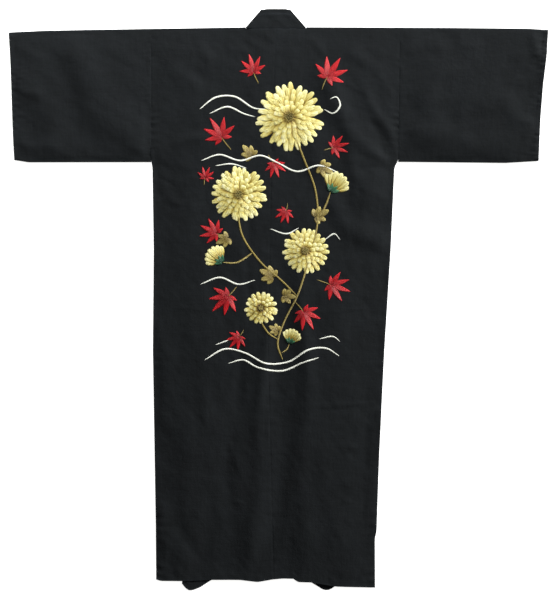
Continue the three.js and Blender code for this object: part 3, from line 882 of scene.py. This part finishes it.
# the overlap panels, sewn to the fronts' inner edges
def makeOverlap(side):
    p = panelLook
    s = -sign[side]
    hem, end = garment["hem"], garment["collarEnd"]
    under = 0 if side == "left" else level["upperFront"]
    seamX, edgeX = look(overlapSeam, end, side), look(overlapEdge, end, side)
    share = (collarSeam(side, end) - seamX) / (edgeX - seamX)
    wide = abs(edgeX - seamX)
    inner = spaced(wide * share, p["columnStep"]) * share
    outer = share + spaced(wide * (1 - share), p["columnStep"], False, True) * (1 - share)
    across = np.concatenate([inner, outer[1:]])[None, :]
    besideBand = np.where(across <= share + 1e-6, across / share, np.nan)

    def laidPart(drop, x, z, wearAndHighlight):
        return x, laidY(drop, x, frontHems[side], hem), z, across * wide, drop, wearAndHighlight

    drop = np.linspace(garment["frontPoint"] + 8 * mm, end, 70)[:, None]
    seamX = look(overlapSeam, drop, side) + s * p["seamGap"] / 2
    bandX = collarSeam(side, drop) - s * p["seamGap"] / 2
    x = blendOf(seamX, bandX, besideBand)
    seamAway, bandAway = np.abs(x - seamX), np.abs(x - bandX)
    calm = awayFrom(p["calmEdge"], seamAway, bandAway)
    z = under + cloth / 2 + frontDetail(x, drop, 40 - s) * calm
    z = z - 0.6 * seamGroove(np.minimum(seamAway, bandAway))
    upper = laidPart(drop, x, z, 0.4 * edgeWear(seamAway, bandAway))

    drop = rowsOver(end + 0.4 * mm, hem, p["frontStep"], seamLook["hem"])[:, None]
    seamX = look(overlapSeam, drop, side) + s * p["seamGap"] / 2
    edgeX = look(overlapEdge, drop, side)
    x = blendOf(seamX, edgeX, across)
    seamAway, edgeAway = np.abs(x - seamX), np.abs(x - edgeX)
    calm = awayFrom(p["calmEdge"], seamAway, edgeAway)
    z = under + cloth / 2 + frontDetail(x, drop, 40 - s) * calm - 0.6 * seamGroove(seamAway)
    for away in (hem - drop, edgeAway):
        z = z + seamLook["frontDent"] * stitchLine(away, seamLook["frontStitch"])
    lower = laidPart(drop, x, z, edgeWear(hem - drop, edgeAway) + 0.4 * edgeWear(seamAway))
    name = "overlap" + side.capitalize()
    return finishCloth(name, "overlap_" + side, lambda centre: True, upper, lower)


# the collar band: up one front, over the shoulder, round the neck and down the other
collarLook = {
    "rowStep": 6 * mm,
    "columnStep": 4.5 * mm,
    "turnRows": 8,
    "shownBand": 1.45 * mm,
    "roundEdge": 0.5 * mm,
    "squareFrom": 430 * mm,
    "spread": 90 * mm,
    "crease": 0.6 * mm,  # a ridge along the band, below its fold
    "creaseAway": 17.5 * mm,
    "creaseWidth": 3.4 * mm,
    "wave": 0.25 * mm,
    # a painted highlight: a pale grey band just above the crease, on the crease's flank that faces the light
    "paintedHighlightAway": 14.5 * mm,
    "paintedHighlightWidth": 2.5 * mm,
}


def makeCollar():
    c = collarLook
    wide, end, dip = garment["collarWidth"], garment["collarEnd"], garment["neckDip"]
    across = spaced(wide, c["columnStep"])
    foldAway = (1 - across) * wide
    backMiddle = level["back"] + level["backNeck"] + garment["band"] / 2
    legMiddle = {"left": garment["band"] / 2, "right": level["upperFront"] + garment["band"] / 2}
    corner = {k: np.array([v, shoulderY + garment["collarRise"] - 2 * mm]) for k, v in collarCorner.items()}
    neck = {k: np.array([v, shoulderY - dip + panelLook["seamGap"] / 2]) for k, v in neckPoint.items()}

    def rowBetween(seam, free, z):
        flat = seam[None, :] + (free - seam)[None, :] * across[:, None]
        return np.column_stack([flat, np.broadcast_to(z, across.shape)])

    def legRows(side):
        s = -sign[side]
        slope = abs(collarSeam(side, end) - neckPoint[side]) / (end - dip)
        square = np.array([1, slope]) / math.hypot(1, slope) * wide
        rows = []
        for drop in np.arange(9 * mm, end, c["rowStep"]).tolist() + [end]:
            seam = np.array([collarSeam(side, drop), shoulderY - drop])
            levelled = ease(drop, c["squareFrom"], end)
            reach = blendOf(square, np.array([wide, 0]), levelled) * (s, 1)
            down = np.array([s * slope * drop, -drop])
            free = blendOf(corner[side] + down, seam + reach, ease(drop, 0, c["spread"]))
            rows.append(rowBetween(seam, free, legMiddle[side]))
        return rows

    def turnOver(side):
        along = (corner[side] - neck[side]) / np.linalg.norm(corner[side] - neck[side])
        out = np.array([along[1], -along[0]]) * sign[side]
        radius = (backMiddle - legMiddle[side]) / 2
        rows = []
        for angle in np.linspace(-math.pi / 2, math.pi / 2, c["turnRows"] + 1):
            shift = out * radius * math.cos(angle)
            z = legMiddle[side] + radius + radius * math.sin(angle)
            rows.append(rowBetween(neck[side] + shift, corner[side] + shift, z))
        return rows

    def neckRows():
        rows = []
        for t in np.linspace(0, 1, 30)[1:-1]:
            seam = blendOf(neck["left"], neck["right"], t)
            free = blendOf(corner["left"], corner["right"], t)
            free[1] += 2 * mm * min(1, 6 * t, 6 * (1 - t))
            row = rowBetween(seam, free, backMiddle)
            crease = c["crease"] * np.exp(-(((foldAway - c["creaseAway"]) / c["creaseWidth"]) ** 2))
            wave = c["wave"] * unevenness(row[:, 0], row[:, 1], 0.03, 70)
            lift = (crease + wave) * min(1, 5 * t, 5 * (1 - t)) + seamGroove(across * wide, 0.4)
            row[:, 2] += lift
            rows.append(row)
        return rows

    rows = legRows("left")[::-1] + turnOver("left") + neckRows() + turnOver("right")[::-1] + legRows("right")
    places = np.array(rows)
    middle = places[:, len(across) // 2]
    along = np.concatenate([[0], np.cumsum(np.linalg.norm(np.diff(middle, axis=0), axis=1))])
    flat = np.dstack(np.broadcast_arrays(across[None, :] * wide, along[:, None]))
    # painted highlight along the crease's lit flank, added to the real wear of the band's edges
    greyWearAndHighlight = 0.6 * np.exp(-(((foldAway - c["paintedHighlightAway"]) / c["paintedHighlightWidth"]) ** 2))
    wearAndHighlight = 0.4 * edgeWear(foldAway) + 0.3 * edgeWear(across * wide) + greyWearAndHighlight + 0 * along[:, None]
    legs = ease(np.abs(along - along[-1] / 2)[:, None], 0.16, 0.2)
    places[..., 2] += 0.12 * mm * np.abs(unevenness(places[..., 0], places[..., 1], 0.06, 71)) * legs

    band = clothGrid("collarBand", places, flat, np.clip(wearAndHighlight, 0, 1))
    faceUp(band, lambda centre: centre.y > shoulderY and centre.z > 4.5 * mm)
    thicken(band, c["shownBand"], c["roundEdge"])
    print("collarBand made:", len(band.data.vertices), "vertices, band", round(along[-1], 3), "m long")
    return finishPiece(band, cotton, "collar")


bodyLeft, bodyRight = makeBodyPanel("left"), makeBodyPanel("right")
sleeveLeft, sleeveRight = makeSleeve("left"), makeSleeve("right")
overlapLeft, overlapRight = makeOverlap("left"), makeOverlap("right")
collarBand = makeCollar()

# the embroidery: chrysanthemums on a spray, with maple leaves over streams of mist
threadLook = {
    "pitch": 0.9 * mm,  # rayon thread lies every 0.4 mm, which is too fine to show here
    "sunk": 0.12 * mm,
    "petalHeight": 0.62 * mm,
    "lobeHeight": 0.85 * mm,
    "knotHeight": 1.1 * mm,
    "lineHeight": 0.9 * mm,
    "lineStep": 2.6 * mm,
    "strandHeight": 0.22 * mm,
    "streaks": (430, 34, 1),  # unevenness across and along the threads, a metre
    "finish": {"Roughness": 0.5, "Specular IOR Level": 0.22},
}


def topOf(under, detail, hem, long, *side):  # the upper surface of a layer that lies on top
    def top(x, y):
        laid = shoulderY - y
        drop = laid
        for _ in range(3):
            drop = laid - (laidDrop(drop, x, hem, long) - drop)
        return under(*side, x, drop) + detail(*side, x, drop) + (cloth + garment["shownCloth"]) / 2

    return top


backTop = topOf(backUnder, backDetail, backHem, garment["hem"])


def rayon(name, tones):
    # filament rayon, laid in flat satin stitch. The colour paints a highlight along each thread and shade
    # between threads, over a bump of the same threads
    t = threadLook
    made, tree, shader = newMaterial(name, t["finish"])
    flat = addNode(tree, "TexCoord").outputs["UV"]
    parts = addNode(tree, "SeparateXYZ", None, {0: flat})
    phase = addNode(tree, "Math", {"operation": "MULTIPLY", 1: 2 * math.pi / t["pitch"]}, {0: parts})
    strand = addNode(tree, "Math", {"operation": "SINE"}, {0: phase})
    stretched = addNode(tree, "Mapping", {"Scale": t["streaks"]}, {"Vector": flat})
    uneven = addNode(tree, "TexNoise", {"Scale": 1.0, "Detail": 3.0}, {"Vector": stretched})
    tone = addNode(tree, "Attribute", {"attribute_name": "tone"}).outputs["Fac"]
    # painted highlight and shade: each thread's crown is lighter, the gap between threads darker
    shaded = addNode(tree, "Math", {"operation": "MULTIPLY_ADD", 1: 0.08}, {0: strand, 2: tone})
    varied = addNode(tree, "Math", {"operation": "MULTIPLY_ADD", 1: 0.9}, {0: uneven, 2: shaded})
    settled = addNode(tree, "Math", {"operation": "SUBTRACT", 1: 0.45}, {0: varied})
    ramp = setRamp(addNode(tree, "ValToRGB", None, {"Fac": settled}), tones)
    tree.links.new(ramp.outputs["Color"], shader.inputs["Base Color"])
    bump = addNode(tree, "Bump", {"Strength": 0.7, "Distance": t["strandHeight"]}, {"Height": strand})
    tree.links.new(bump.outputs["Normal"], shader.inputs["Normal"])
    return made


rayonTones = {
    "gold": ((0.0, "#3a2b0e"), (0.28, "#7f6923"), (0.52, "#b6a553"), (0.78, "#d0c982"), (1.0, "#dfdaab")),
    "ochre": ((0.0, "#32280e"), (0.5, "#7c6c34"), (1.0, "#ada05f")),
    "red": ((0.0, "#420205"), (0.5, "#970912"), (1.0, "#c0171f")),
    "white": ((0.0, "#8c8c82"), (0.6, "#c6c7ba"), (1.0, "#dadcd0")),
    "green": ((0.0, "#0a2417"), (0.6, "#1c4e34"), (1.0, "#447a50")),
}
thread = {colour: rayon(colour + "RayonThread", tones) for colour, tones in rayonTones.items()}


def petalHalfWidth(t):  # narrow at its root, widest past the middle and round at its tip
    return (0.34 + 0.66 * ease(t, 0, 0.72)) * np.sqrt(np.clip(1 - t**7, 0, 1)) * ease(t, -0.06, 0.08)


def lobeHalfWidth(t):  # widest low down, drawn out to a point
    return np.clip(np.sin(math.pi * np.clip(t, 0, 1) ** 0.72), 0, 1) ** 0.9 * (1 - 0.25 * t) + 0.02


def roundLobeHalfWidth(t):
    return np.clip(np.sin(math.pi * np.clip(t, 0, 1) ** 0.85), 0, 1) ** 0.6 + 0.02


def satinPattern(halfWidth, groove):  # one closed stitched shape along +Y, 1 long and 2 wide
    bpy.ops.object.select_all(action="DESELECT")
    bpy.ops.mesh.primitive_uv_sphere_add(segments=10, ring_count=7, radius=1)
    ball = bpy.context.object
    across, up, along = np.array([v.co for v in ball.data.vertices], float).T
    faces = [list(p.vertices)[::-1] for p in ball.data.polygons]
    bpy.data.objects.remove(ball)
    t = (1 + along) / 2
    radius = np.sqrt(np.maximum(1 - along**2, 1e-9))
    s = np.where(radius > 1e-3, across / radius, 0)
    top = np.where(radius > 1e-3, up / radius, 0)
    crown = np.maximum(top, 0) * (1 - groove * np.exp(-((s / 0.22) ** 2)))
    ends = np.clip(np.minimum(t / 0.12, (1 - t) / 0.12), 0, 1) ** 0.5
    return np.column_stack([s * halfWidth(t), t, crown * ends]), faces


def knotPattern():
    bpy.ops.object.select_all(action="DESELECT")
    bpy.ops.mesh.primitive_ico_sphere_add(subdivisions=1, radius=1)
    ball = bpy.context.object
    points = np.array([v.co for v in ball.data.vertices])
    faces = [list(p.vertices) for p in ball.data.polygons]
    bpy.data.objects.remove(ball)
    return points * (1, 0.5, 1) + (0, 0.5, 0), faces


# each group has points with heights over the cloth, faces, flat places and tones
def joinedMesh(name, groups, material, top=backTop):
    corners, faces, flats, tones, start = [], [], [], [], 0
    for points, groupFaces, flat, tone in groups:
        corners.append(points)
        flats.append(flat)
        tones.append(tone)
        faces += [[v + start for v in face] for face in groupFaces]
        start += len(points)
    corners = np.vstack(corners)
    corners[:, 2] += top(corners[:, 0], corners[:, 1]) - threadLook["sunk"]
    mesh = bpy.data.meshes.new(name)
    mesh.from_pydata(corners.tolist(), [], faces)
    shade = mesh.attributes.new("tone", "FLOAT", "POINT")
    shade.data.foreach_set("value", np.concatenate(tones).astype(np.float32))
    corner = np.zeros(len(mesh.loops), np.int32)
    mesh.loops.foreach_get("vertex_index", corner)
    flat = np.vstack(flats)[corner].reshape(-1).astype(np.float32)
    mesh.uv_layers.new(name="flat").data.foreach_set("uv", flat)
    piece = bpy.data.objects.new(name, mesh)
    bpy.context.collection.objects.link(piece)
    editAll(piece, bpy.ops.mesh.normals_make_consistent, inside=False)
    bpy.ops.object.shade_smooth()
    print(name, "stitched:", len(faces), "faces")
    return finishPiece(piece, material)


def stitchedCopy(pattern, x, drop, turn, long, wide, height, lift=0.0, tip=1.0, bend=0.0, tone=(0, 1, 0)):
    # turn 0 points up the back, and tip is the share of the lift that is left at the far end
    # tone is the root's, the far end's and how much darker the edges are. The darker root and edges are
    # partly darker thread and partly painted shade under and between overlapping pieces
    points, faces = pattern
    t = points[:, 1]
    lx = points[:, 0] * wide / 2 + bend * long * t * t
    ly = t * long
    angle = math.radians(turn)
    px = x * mm + lx * math.cos(angle) + ly * math.sin(angle)
    py = shoulderY - drop * mm - lx * math.sin(angle) + ly * math.cos(angle)
    z = points[:, 2] * (height + threadLook["sunk"])
    z = z + np.where(points[:, 2] > 0, lift * blendOf(1, tip, t), 0)
    # painted shade: darker towards the root and along the edges, where the pieces overlap one another
    edge = np.abs(points[:, 0]) ** 3
    shade = blendOf(tone[0], tone[1], ease(t, 0.1, 0.95)) - tone[2] * edge
    return np.column_stack([px, py, z]), faces, np.column_stack([lx, ly]), shade


def stepOut(x, drop, turn, away):  # a place this far from another, towards turn
    return x + math.sin(math.radians(turn)) * away, drop - math.cos(math.radians(turn)) * away


blooms = [  # x and drop of the centre, diameter, petals in each ring from the outside, turn, seed
    (26, 214, 164, (27, 24, 21, 17, 11), 4, 1),
    (-94, 398, 134, (24, 21, 18, 13, 8), 17, 2),
    (64, 532, 112, (21, 18, 14, 9), 9, 3),
    (-42, 668, 80, (17, 14, 9), 30, 4),
]
buds = [  # x and drop of the root, turn, length
    (124, 392, 32, 52),
    (-134, 560, -48, 46),
    (26, 752, 18, 36),
]
bloomLook = {
    "innerRing": 0.78,  # the rings' reach falls by this share of the radius
    "root": 0.14,
    "overlap": 1.12,  # of a petal's fair share of its ring
    "ringTurn": 37,
    "ringLift": 0.3 * mm,
    "petalLift": 0.12 * mm,
    "tip": 0.8,
    "heart": 0.15,
    "knots": 3.4,  # for each millimetre of the heart's radius
    "knotTurn": 2.39996,  # radians, so that knots wind out from the middle
    "knotSize": (2.6 * mm, 2.7 * mm),
    "knotTone": (0.6, 1.1, 0.3),
    "budFans": (-44, 44, -30, 30, -15, 15, 0),
    "budTone": (0.1, 0.9, 0.42),
    "calyxFans": (-52, 52, -20, 20),
    "calyxLift": 0.9 * mm,
    "calyxTone": (0.3, 0.9, 0.3),
}


def bloomPetals(petal, x, drop, diameter, rings, turn, seed):
    c = bloomLook
    draw = np.random.default_rng(seed)
    radius = diameter / 2
    groups = []
    for ring, count in enumerate(rings):
        share = ring / len(rings)
        reach = radius * (1 - c["innerRing"] * share) * mm
        root = radius * c["root"] * (1 - 0.5 * share) * mm
        wide = c["overlap"] * 2 * math.pi * (reach * 0.8) / count
        for n in range(count):
            angle = turn + c["ringTurn"] * ring + 360 * n / count + draw.normal(0, 1.6)
            long = (reach - root) * draw.uniform(0.92, 1.04)
            place = stepOut(x, drop, angle, root / mm)
            looks = {
                "lift": c["ringLift"] * ring + c["petalLift"] * (n % 2),
                "tip": c["tip"],
                # painted shade: the outer rings start darker at the root, under the rings that lie over them
                "tone": (-0.2 + 0.1 * ring, 0.84 + draw.uniform(-0.14, 0.18), 0.5),
                "bend": draw.normal(0, 0.05),
            }
            groups.append(stitchedCopy(petal, *place, angle, long, wide, threadLook["petalHeight"], **looks))
    return groups


def bloomHeart(knot, x, drop, diameter, rings):
    c = bloomLook
    heart = diameter / 2 * c["heart"]
    count = int(heart * c["knots"])
    looks = {"lift": 0.9 * mm + c["ringLift"] * len(rings), "tone": c["knotTone"]}
    groups = []
    for n in range(count):
        away, angle = heart * math.sqrt((n + 0.5) / count), n * c["knotTurn"]
        place = x + away * math.cos(angle), drop + away * math.sin(angle) + 1.2
        groups.append(stitchedCopy(knot, *place, 0, *c["knotSize"], threadLook["knotHeight"], **looks))
    return groups


def makeBlooms():
    c = bloomLook
    petalHigh, cupHigh = threadLook["petalHeight"], threadLook["lobeHeight"]
    petal, cup, knot = satinPattern(petalHalfWidth, 0.25), satinPattern(lobeHalfWidth, 0.5), knotPattern()
    petals, hearts, calyxes = [], [], []
    for x, drop, diameter, rings, turn, seed in blooms:
        petals += bloomPetals(petal, x, drop, diameter, rings, turn, seed)
        hearts += bloomHeart(knot, x, drop, diameter, rings)
    for x, drop, turn, long in buds:
        for n, fan in enumerate(c["budFans"]):
            size = long * (0.8 + 0.2 * math.cos(math.radians(fan * 1.6))) * mm
            looks = {"lift": c["petalLift"] * n, "tone": c["budTone"]}
            wide = 0.34 * long * mm
            petals.append(stitchedCopy(petal, x, drop, turn + fan, size, wide, petalHigh, **looks))
        looks = {"lift": c["calyxLift"], "tone": c["calyxTone"]}
        size = 0.42 * long * mm, 0.22 * long * mm
        for fan in c["calyxFans"]:
            calyxes.append(stitchedCopy(cup, x, drop, turn + fan, *size, cupHigh, **looks))
    joinedMesh("budCalyxes", calyxes, thread["green"])
    joinedMesh("chrysanthemumPetals", petals, thread["gold"])
    joinedMesh("chrysanthemumHearts", hearts, thread["ochre"])


mapleLeaves = [  # x and drop of the leaf's middle, its size and turn
    (-142, 250, 84, -28),
    (124, 108, 88, 34),
    (-62, 96, 68, -12),
    (140, 284, 62, 74),
    (-8, 334, 56, 158),
    (-158, 486, 70, -64),
    (136, 618, 78, 112),
    (-130, 650, 84, -132),
    (14, 446, 52, 204),
    (66, 688, 76, 148),
    (-100, 744, 56, 222),
    (-172, 352, 46, 20),
]
# each lobe's turn and its share of the leaf's length
mapleLobes = ((0, 1.0), (-36, 0.94), (36, 0.94), (-74, 0.76), (74, 0.76), (-116, 0.46), (116, 0.46))
sprayLeaves = [
    (-22, 590, 58, -58),
    (96, 448, 56, 66),
    (-128, 506, 50, -118),
    (108, 336, 54, 118),
    (20, 640, 50, 96),
    (-70, 300, 52, -40),
    (-8, 720, 40, -60),
]
sprayLeafLobes = ((0, 1.0), (-42, 0.78), (42, 0.78), (-88, 0.56), (88, 0.56))
leafLook = {
    "middle": 0.16,  # the lobes' root lies this share of the size below the middle
    "long": 0.62,
    "maple": {"wide": 0.2, "tones": (0.35, 0.85), "seed": 21},
    "spray": {"wide": 0.3, "tones": (0.3, 0.8), "seed": 22},
    "stalk": ((0.16, 0), (0.36, 0.3), (0.58, 1.0)),  # shares of the size from the middle, and of its bend
    "stalkBend": 0.1,
}


def stitchedLeaves(leaves, lobes, pattern, wide, tones, seed):
    draw = np.random.default_rng(seed)
    groups = []
    for x, drop, size, turn in leaves:
        root = stepOut(x, drop, turn, -leafLook["middle"] * size)
        for n, (fan, share) in enumerate(lobes):
            long = leafLook["long"] * size * share * draw.uniform(0.95, 1.05) * mm
            looks = {
                "lift": 0.12 * mm * (len(lobes) - n) / len(lobes),
                "tone": (tones[0], tones[1] + draw.uniform(-0.12, 0.12), 0.3),
                "bend": draw.normal(0, 0.03),
            }
            across = wide * size * mm * (0.6 + 0.4 * share)
            high = threadLook["lobeHeight"]
            groups.append(stitchedCopy(pattern, *root, turn + fan, long, across, high, **looks))
    return groups


def smoothPath(points, step):  # an even curve through points given as x and drop in millimetres
    p = np.array(points, float)
    p = np.vstack([2 * p[0] - p[1], p, 2 * p[-1] - p[-2]])
    rows = []
    for i in range(1, len(p) - 2):
        t = np.linspace(0, 1, 24, endpoint=False)[:, None]
        a, b, c, d = p[i - 1], p[i], p[i + 1], p[i + 2]
        bends = (2 * a - 5 * b + 4 * c - d) * t**2 + (3 * b - a - 3 * c + d) * t**3
        rows.append(0.5 * (2 * b + (c - a) * t + bends))
    p = np.vstack(rows + [p[-2][None, :]]) * mm
    far = np.concatenate([[0], np.cumsum(np.linalg.norm(np.diff(p, axis=0), axis=1))])
    count = max(4, round(far[-1] / step))
    even = np.linspace(0, far[-1], count + 1)
    return np.column_stack([np.interp(even, far, p[:, 0]), shoulderY - np.interp(even, far, p[:, 1])]), even


def satinLine(points, wide, height, taper, tone):  # a raised line of satin stitch, flat underneath
    path, along = smoothPath(points, threadLook["lineStep"])
    ahead = np.gradient(path, axis=0)
    ahead /= np.linalg.norm(ahead, axis=1)[:, None]
    side = np.column_stack([-ahead[:, 1], ahead[:, 0]])
    ends = np.minimum(along, along[-1] - along) / (taper * mm)
    share = 0.15 + 0.85 * np.sqrt(np.clip(ends, 0, 1))
    angles = np.radians([0, 32, 64, 90, 116, 148, 180])
    across = np.cos(angles)[None, :] * wide * mm / 2 * share[:, None]
    z = np.sin(angles)[None, :] * (height + threadLook["sunk"]) * share[:, None]
    places = path[:, None, :] + side[:, None, :] * across[..., None]
    corners = np.dstack([places, z]).reshape(-1, 3)
    ring, count = len(angles), len(path)
    faces = []
    for i in range(count - 1):
        for j in range(ring):
            k = (j + 1) % ring
            faces.append([i * ring + j, i * ring + k, (i + 1) * ring + k, (i + 1) * ring + j])
    faces += [list(range(ring)), list(range((count - 1) * ring, count * ring))]
    flat = np.dstack([along[:, None] + 0.3 * across, across]).reshape(-1, 2)
    # painted shade: darker along both edges of the raised line
    shade = (tone - 0.25 * np.abs(np.cos(angles)) ** 4)[None, :] + 0 * share[:, None]
    return corners, faces, flat, shade.reshape(-1)


stemLines = [
    [(10, 792), (-2, 752), (14, 700), (46, 636), (70, 560), (92, 470), (88, 390), (62, 318), (40, 262)],
    [(44, 640), (4, 600), (-42, 560), (-84, 500), (-98, 440)],
    [(0, 744), (-26, 726), (-44, 696)],
    [(92, 462), (112, 424), (124, 392)],
    [(-60, 536), (-98, 560), (-134, 560)],
    [(6, 776), (20, 766), (26, 752)],
]
mistLines = [
    [(-188, 196), (-150, 168), (-104, 166), (-62, 192), (-30, 196)],
    [(-164, 206), (-122, 190), (-84, 206), (-56, 214)],
    [(108, 196), (130, 206), (146, 188), (138, 168), (122, 172)],
    [(-184, 318), (-140, 304), (-92, 318), (-44, 306), (-4, 322), (44, 344), (96, 330), (142, 346)],
    [(-150, 330), (-112, 326), (-76, 336)],
    [(-20, 480), (18, 492), (48, 478)],
    [(110, 506), (132, 492), (146, 506)],
    [(-186, 612), (-140, 596), (-96, 612), (-56, 602)],
    [(-176, 792), (-128, 766), (-78, 776), (-30, 800), (24, 796), (70, 768), (112, 764), (144, 782)],
    [(-120, 800), (-84, 792), (-48, 810), (8, 818), (58, 798), (96, 786)],
    [(-150, 756), (-112, 742)],
    [(96, 742), (128, 736), (146, 748)],
]
lineLook = {  # width, height, how long the ends taper, and tone
    "stem": (4.4, threadLook["lineHeight"], 24, 0.6),
    "stalk": (2.6, 0.7 * mm, 12, 0.5),
    "mist": (4.4, threadLook["lineHeight"], 46, 0.9),
}


def mapleStalk(x, drop, size, turn):
    bend = leafLook["stalkBend"] * size * math.cos(math.radians(turn))
    places = [(*stepOut(x, drop, turn, -far * size), share * bend) for far, share in leafLook["stalk"]]
    return [(px + aside, py) for px, py, aside in places]


def makeSpray():
    lobe, rounder = satinPattern(lobeHalfWidth, 0.5), satinPattern(roundLobeHalfWidth, 0.5)
    maple = stitchedLeaves(mapleLeaves, mapleLobes, lobe, **leafLook["maple"])
    joinedMesh("mapleLeaves", maple, thread["red"])
    leaves = stitchedLeaves(sprayLeaves, sprayLeafLobes, rounder, **leafLook["spray"])
    joinedMesh("sprayLeaves", leaves, thread["ochre"])
    stems = [satinLine(line, *lineLook["stem"]) for line in stemLines]
    stems += [satinLine(mapleStalk(*leaf), *lineLook["stalk"]) for leaf in mapleLeaves]
    joinedMesh("stems", stems, thread["ochre"])
    joinedMesh("mistLines", [satinLine(line, *lineLook["mist"]) for line in mistLines], thread["white"])


makeSpray()
makeBlooms()

# the stitches that hold the hem and the cuffs
stitchLook = {
    "colour": "#0e0f10",
    "pitch": 3.4 * mm,
    "long": 2.5 * mm,
    "wide": 0.6 * mm,
    "height": 0.12 * mm,
    "fromHem": 14.8 * mm,
    "fromCuff": 11.8 * mm,
    "fromCorner": 5 * mm,
}


def sewingThread():
    # spun polyester sewing thread, a little glossier than the cloth
    finish = {"Base Color": linear(stitchLook["colour"]), "Roughness": 0.75, "Specular IOR Level": 0.12}
    return newMaterial("blackSewingThread", finish)[0]


def stitchesAlong(x, drop):  # along a line of places, x and drop as laid
    s = stitchLook
    pattern = knotPattern()
    far = np.concatenate([[0], np.cumsum(np.hypot(np.diff(x), np.diff(drop)))])
    groups = []
    for start in np.arange(s["pitch"] / 2, far[-1] - s["pitch"], s["pitch"]):
        x0, x1 = np.interp((start, start + s["long"]), far, x)
        drop0, drop1 = np.interp((start, start + s["long"]), far, drop)
        turn = math.degrees(math.atan2(x1 - x0, drop0 - drop1))
        groups.append(stitchedCopy(pattern, x0 / mm, drop0 / mm, turn, s["long"], s["wide"], s["height"]))
    return groups


def makeStitches():
    s = stitchLook
    black = sewingThread()
    hem, long = garment["hem"], garment["sleeveHem"]
    line = hem - s["fromHem"]
    left, right = look(sideEdge, line, "left"), look(sideEdge, line, "right")
    x = np.linspace(left + s["fromCorner"], right - s["fromCorner"], 300)
    joinedMesh("hemStitches", stitchesAlong(x, laidDrop(line + 0 * x, x, backHem, hem)), black)
    for side in ("left", "right"):
        drop = np.linspace(s["fromCorner"], long - s["fromCorner"], 200)
        x = look(cuffEdge, drop, side) - sign[side] * s["fromCuff"]
        stitches = stitchesAlong(x, laidDrop(drop, x, sleeveBottom, long))
        top = topOf(sleeveUnder, sleeveDetail, sleeveBottom, long, side)
        joinedMesh("cuffStitches" + side.capitalize(), stitches, black, top)


makeStitches()

# floor, light and camera
stageLook = {
    "floor": "#f4f4f2",
    "floorSize": 12.0,
    "floorDrop": 0.05 * mm,  # just under the cloth
    "floorGlow": 0.95,  # a light table, lit from below
    "ambient": 0.19,
    "rakePower": 8.8,  # a far soft box, low over the wearer's right shoulder, which brings out the folds
    "rakeFrom": (0.86, 0.5, 0.22),
    "rakeSoftness": 15,  # degrees
    "topPower": 40,
    "topPlace": (-0.1, 1.45, 0.8),
    "topSize": (3.2, 0.5),
}


def makeFloor():
    bpy.ops.object.select_all(action="DESELECT")
    bpy.ops.mesh.primitive_plane_add(size=stageLook["floorSize"], location=(0, 0, -stageLook["floorDrop"]))
    floor = bpy.context.object
    floor.name = "floor"
    white = linear(stageLook["floor"])
    finish = {"Base Color": white, "Roughness": 0.9, "Specular IOR Level": 0.2, "Emission Color": white}
    finish["Emission Strength"] = stageLook["floorGlow"]
    floor.data.materials.append(newMaterial("whitePaperFloor", finish)[0])


def addLight(kind, name, power, place):
    bpy.ops.object.light_add(type=kind, location=place)
    light = bpy.context.object
    light.name = name
    light.data.energy = power
    light.rotation_euler = (-Vector(place)).to_track_quat("-Z", "Y").to_euler()
    return light.data


makeFloor()
rake = addLight("SUN", "rakeLight", stageLook["rakePower"], stageLook["rakeFrom"])
rake.angle = math.radians(stageLook["rakeSoftness"])
top = addLight("AREA", "topLight", stageLook["topPower"], stageLook["topPlace"])
top.shape = "RECTANGLE"
top.size, top.size_y = stageLook["topSize"]
world = bpy.context.scene.world or bpy.data.worlds.new("studio")
bpy.context.scene.world = world
world.use_nodes = True
world.node_tree.nodes["Background"].inputs["Color"].default_value = (1, 1, 1, 1)
world.node_tree.nodes["Background"].inputs["Strength"].default_value = stageLook["ambient"]
bpy.context.scene.view_settings.view_transform = "Standard"

shot = {
    "lens": 85,
    "pictureHeight": 1.429,  # metres of floor from the picture's top to its bottom
    "aimX": 2.4 * mm,
    "aimY": -0.7 * mm,
}
bpy.ops.object.camera_add(rotation=(0, 0, 0))
camera = bpy.context.object
camera.name = "camera"
camera.data.lens = shot["lens"]
distance = shot["pictureHeight"] * shot["lens"] / camera.data.sensor_width
camera.location = (shot["aimX"], shot["aimY"], distance)
camera.data.clip_end = 50
bpy.context.scene.camera = camera
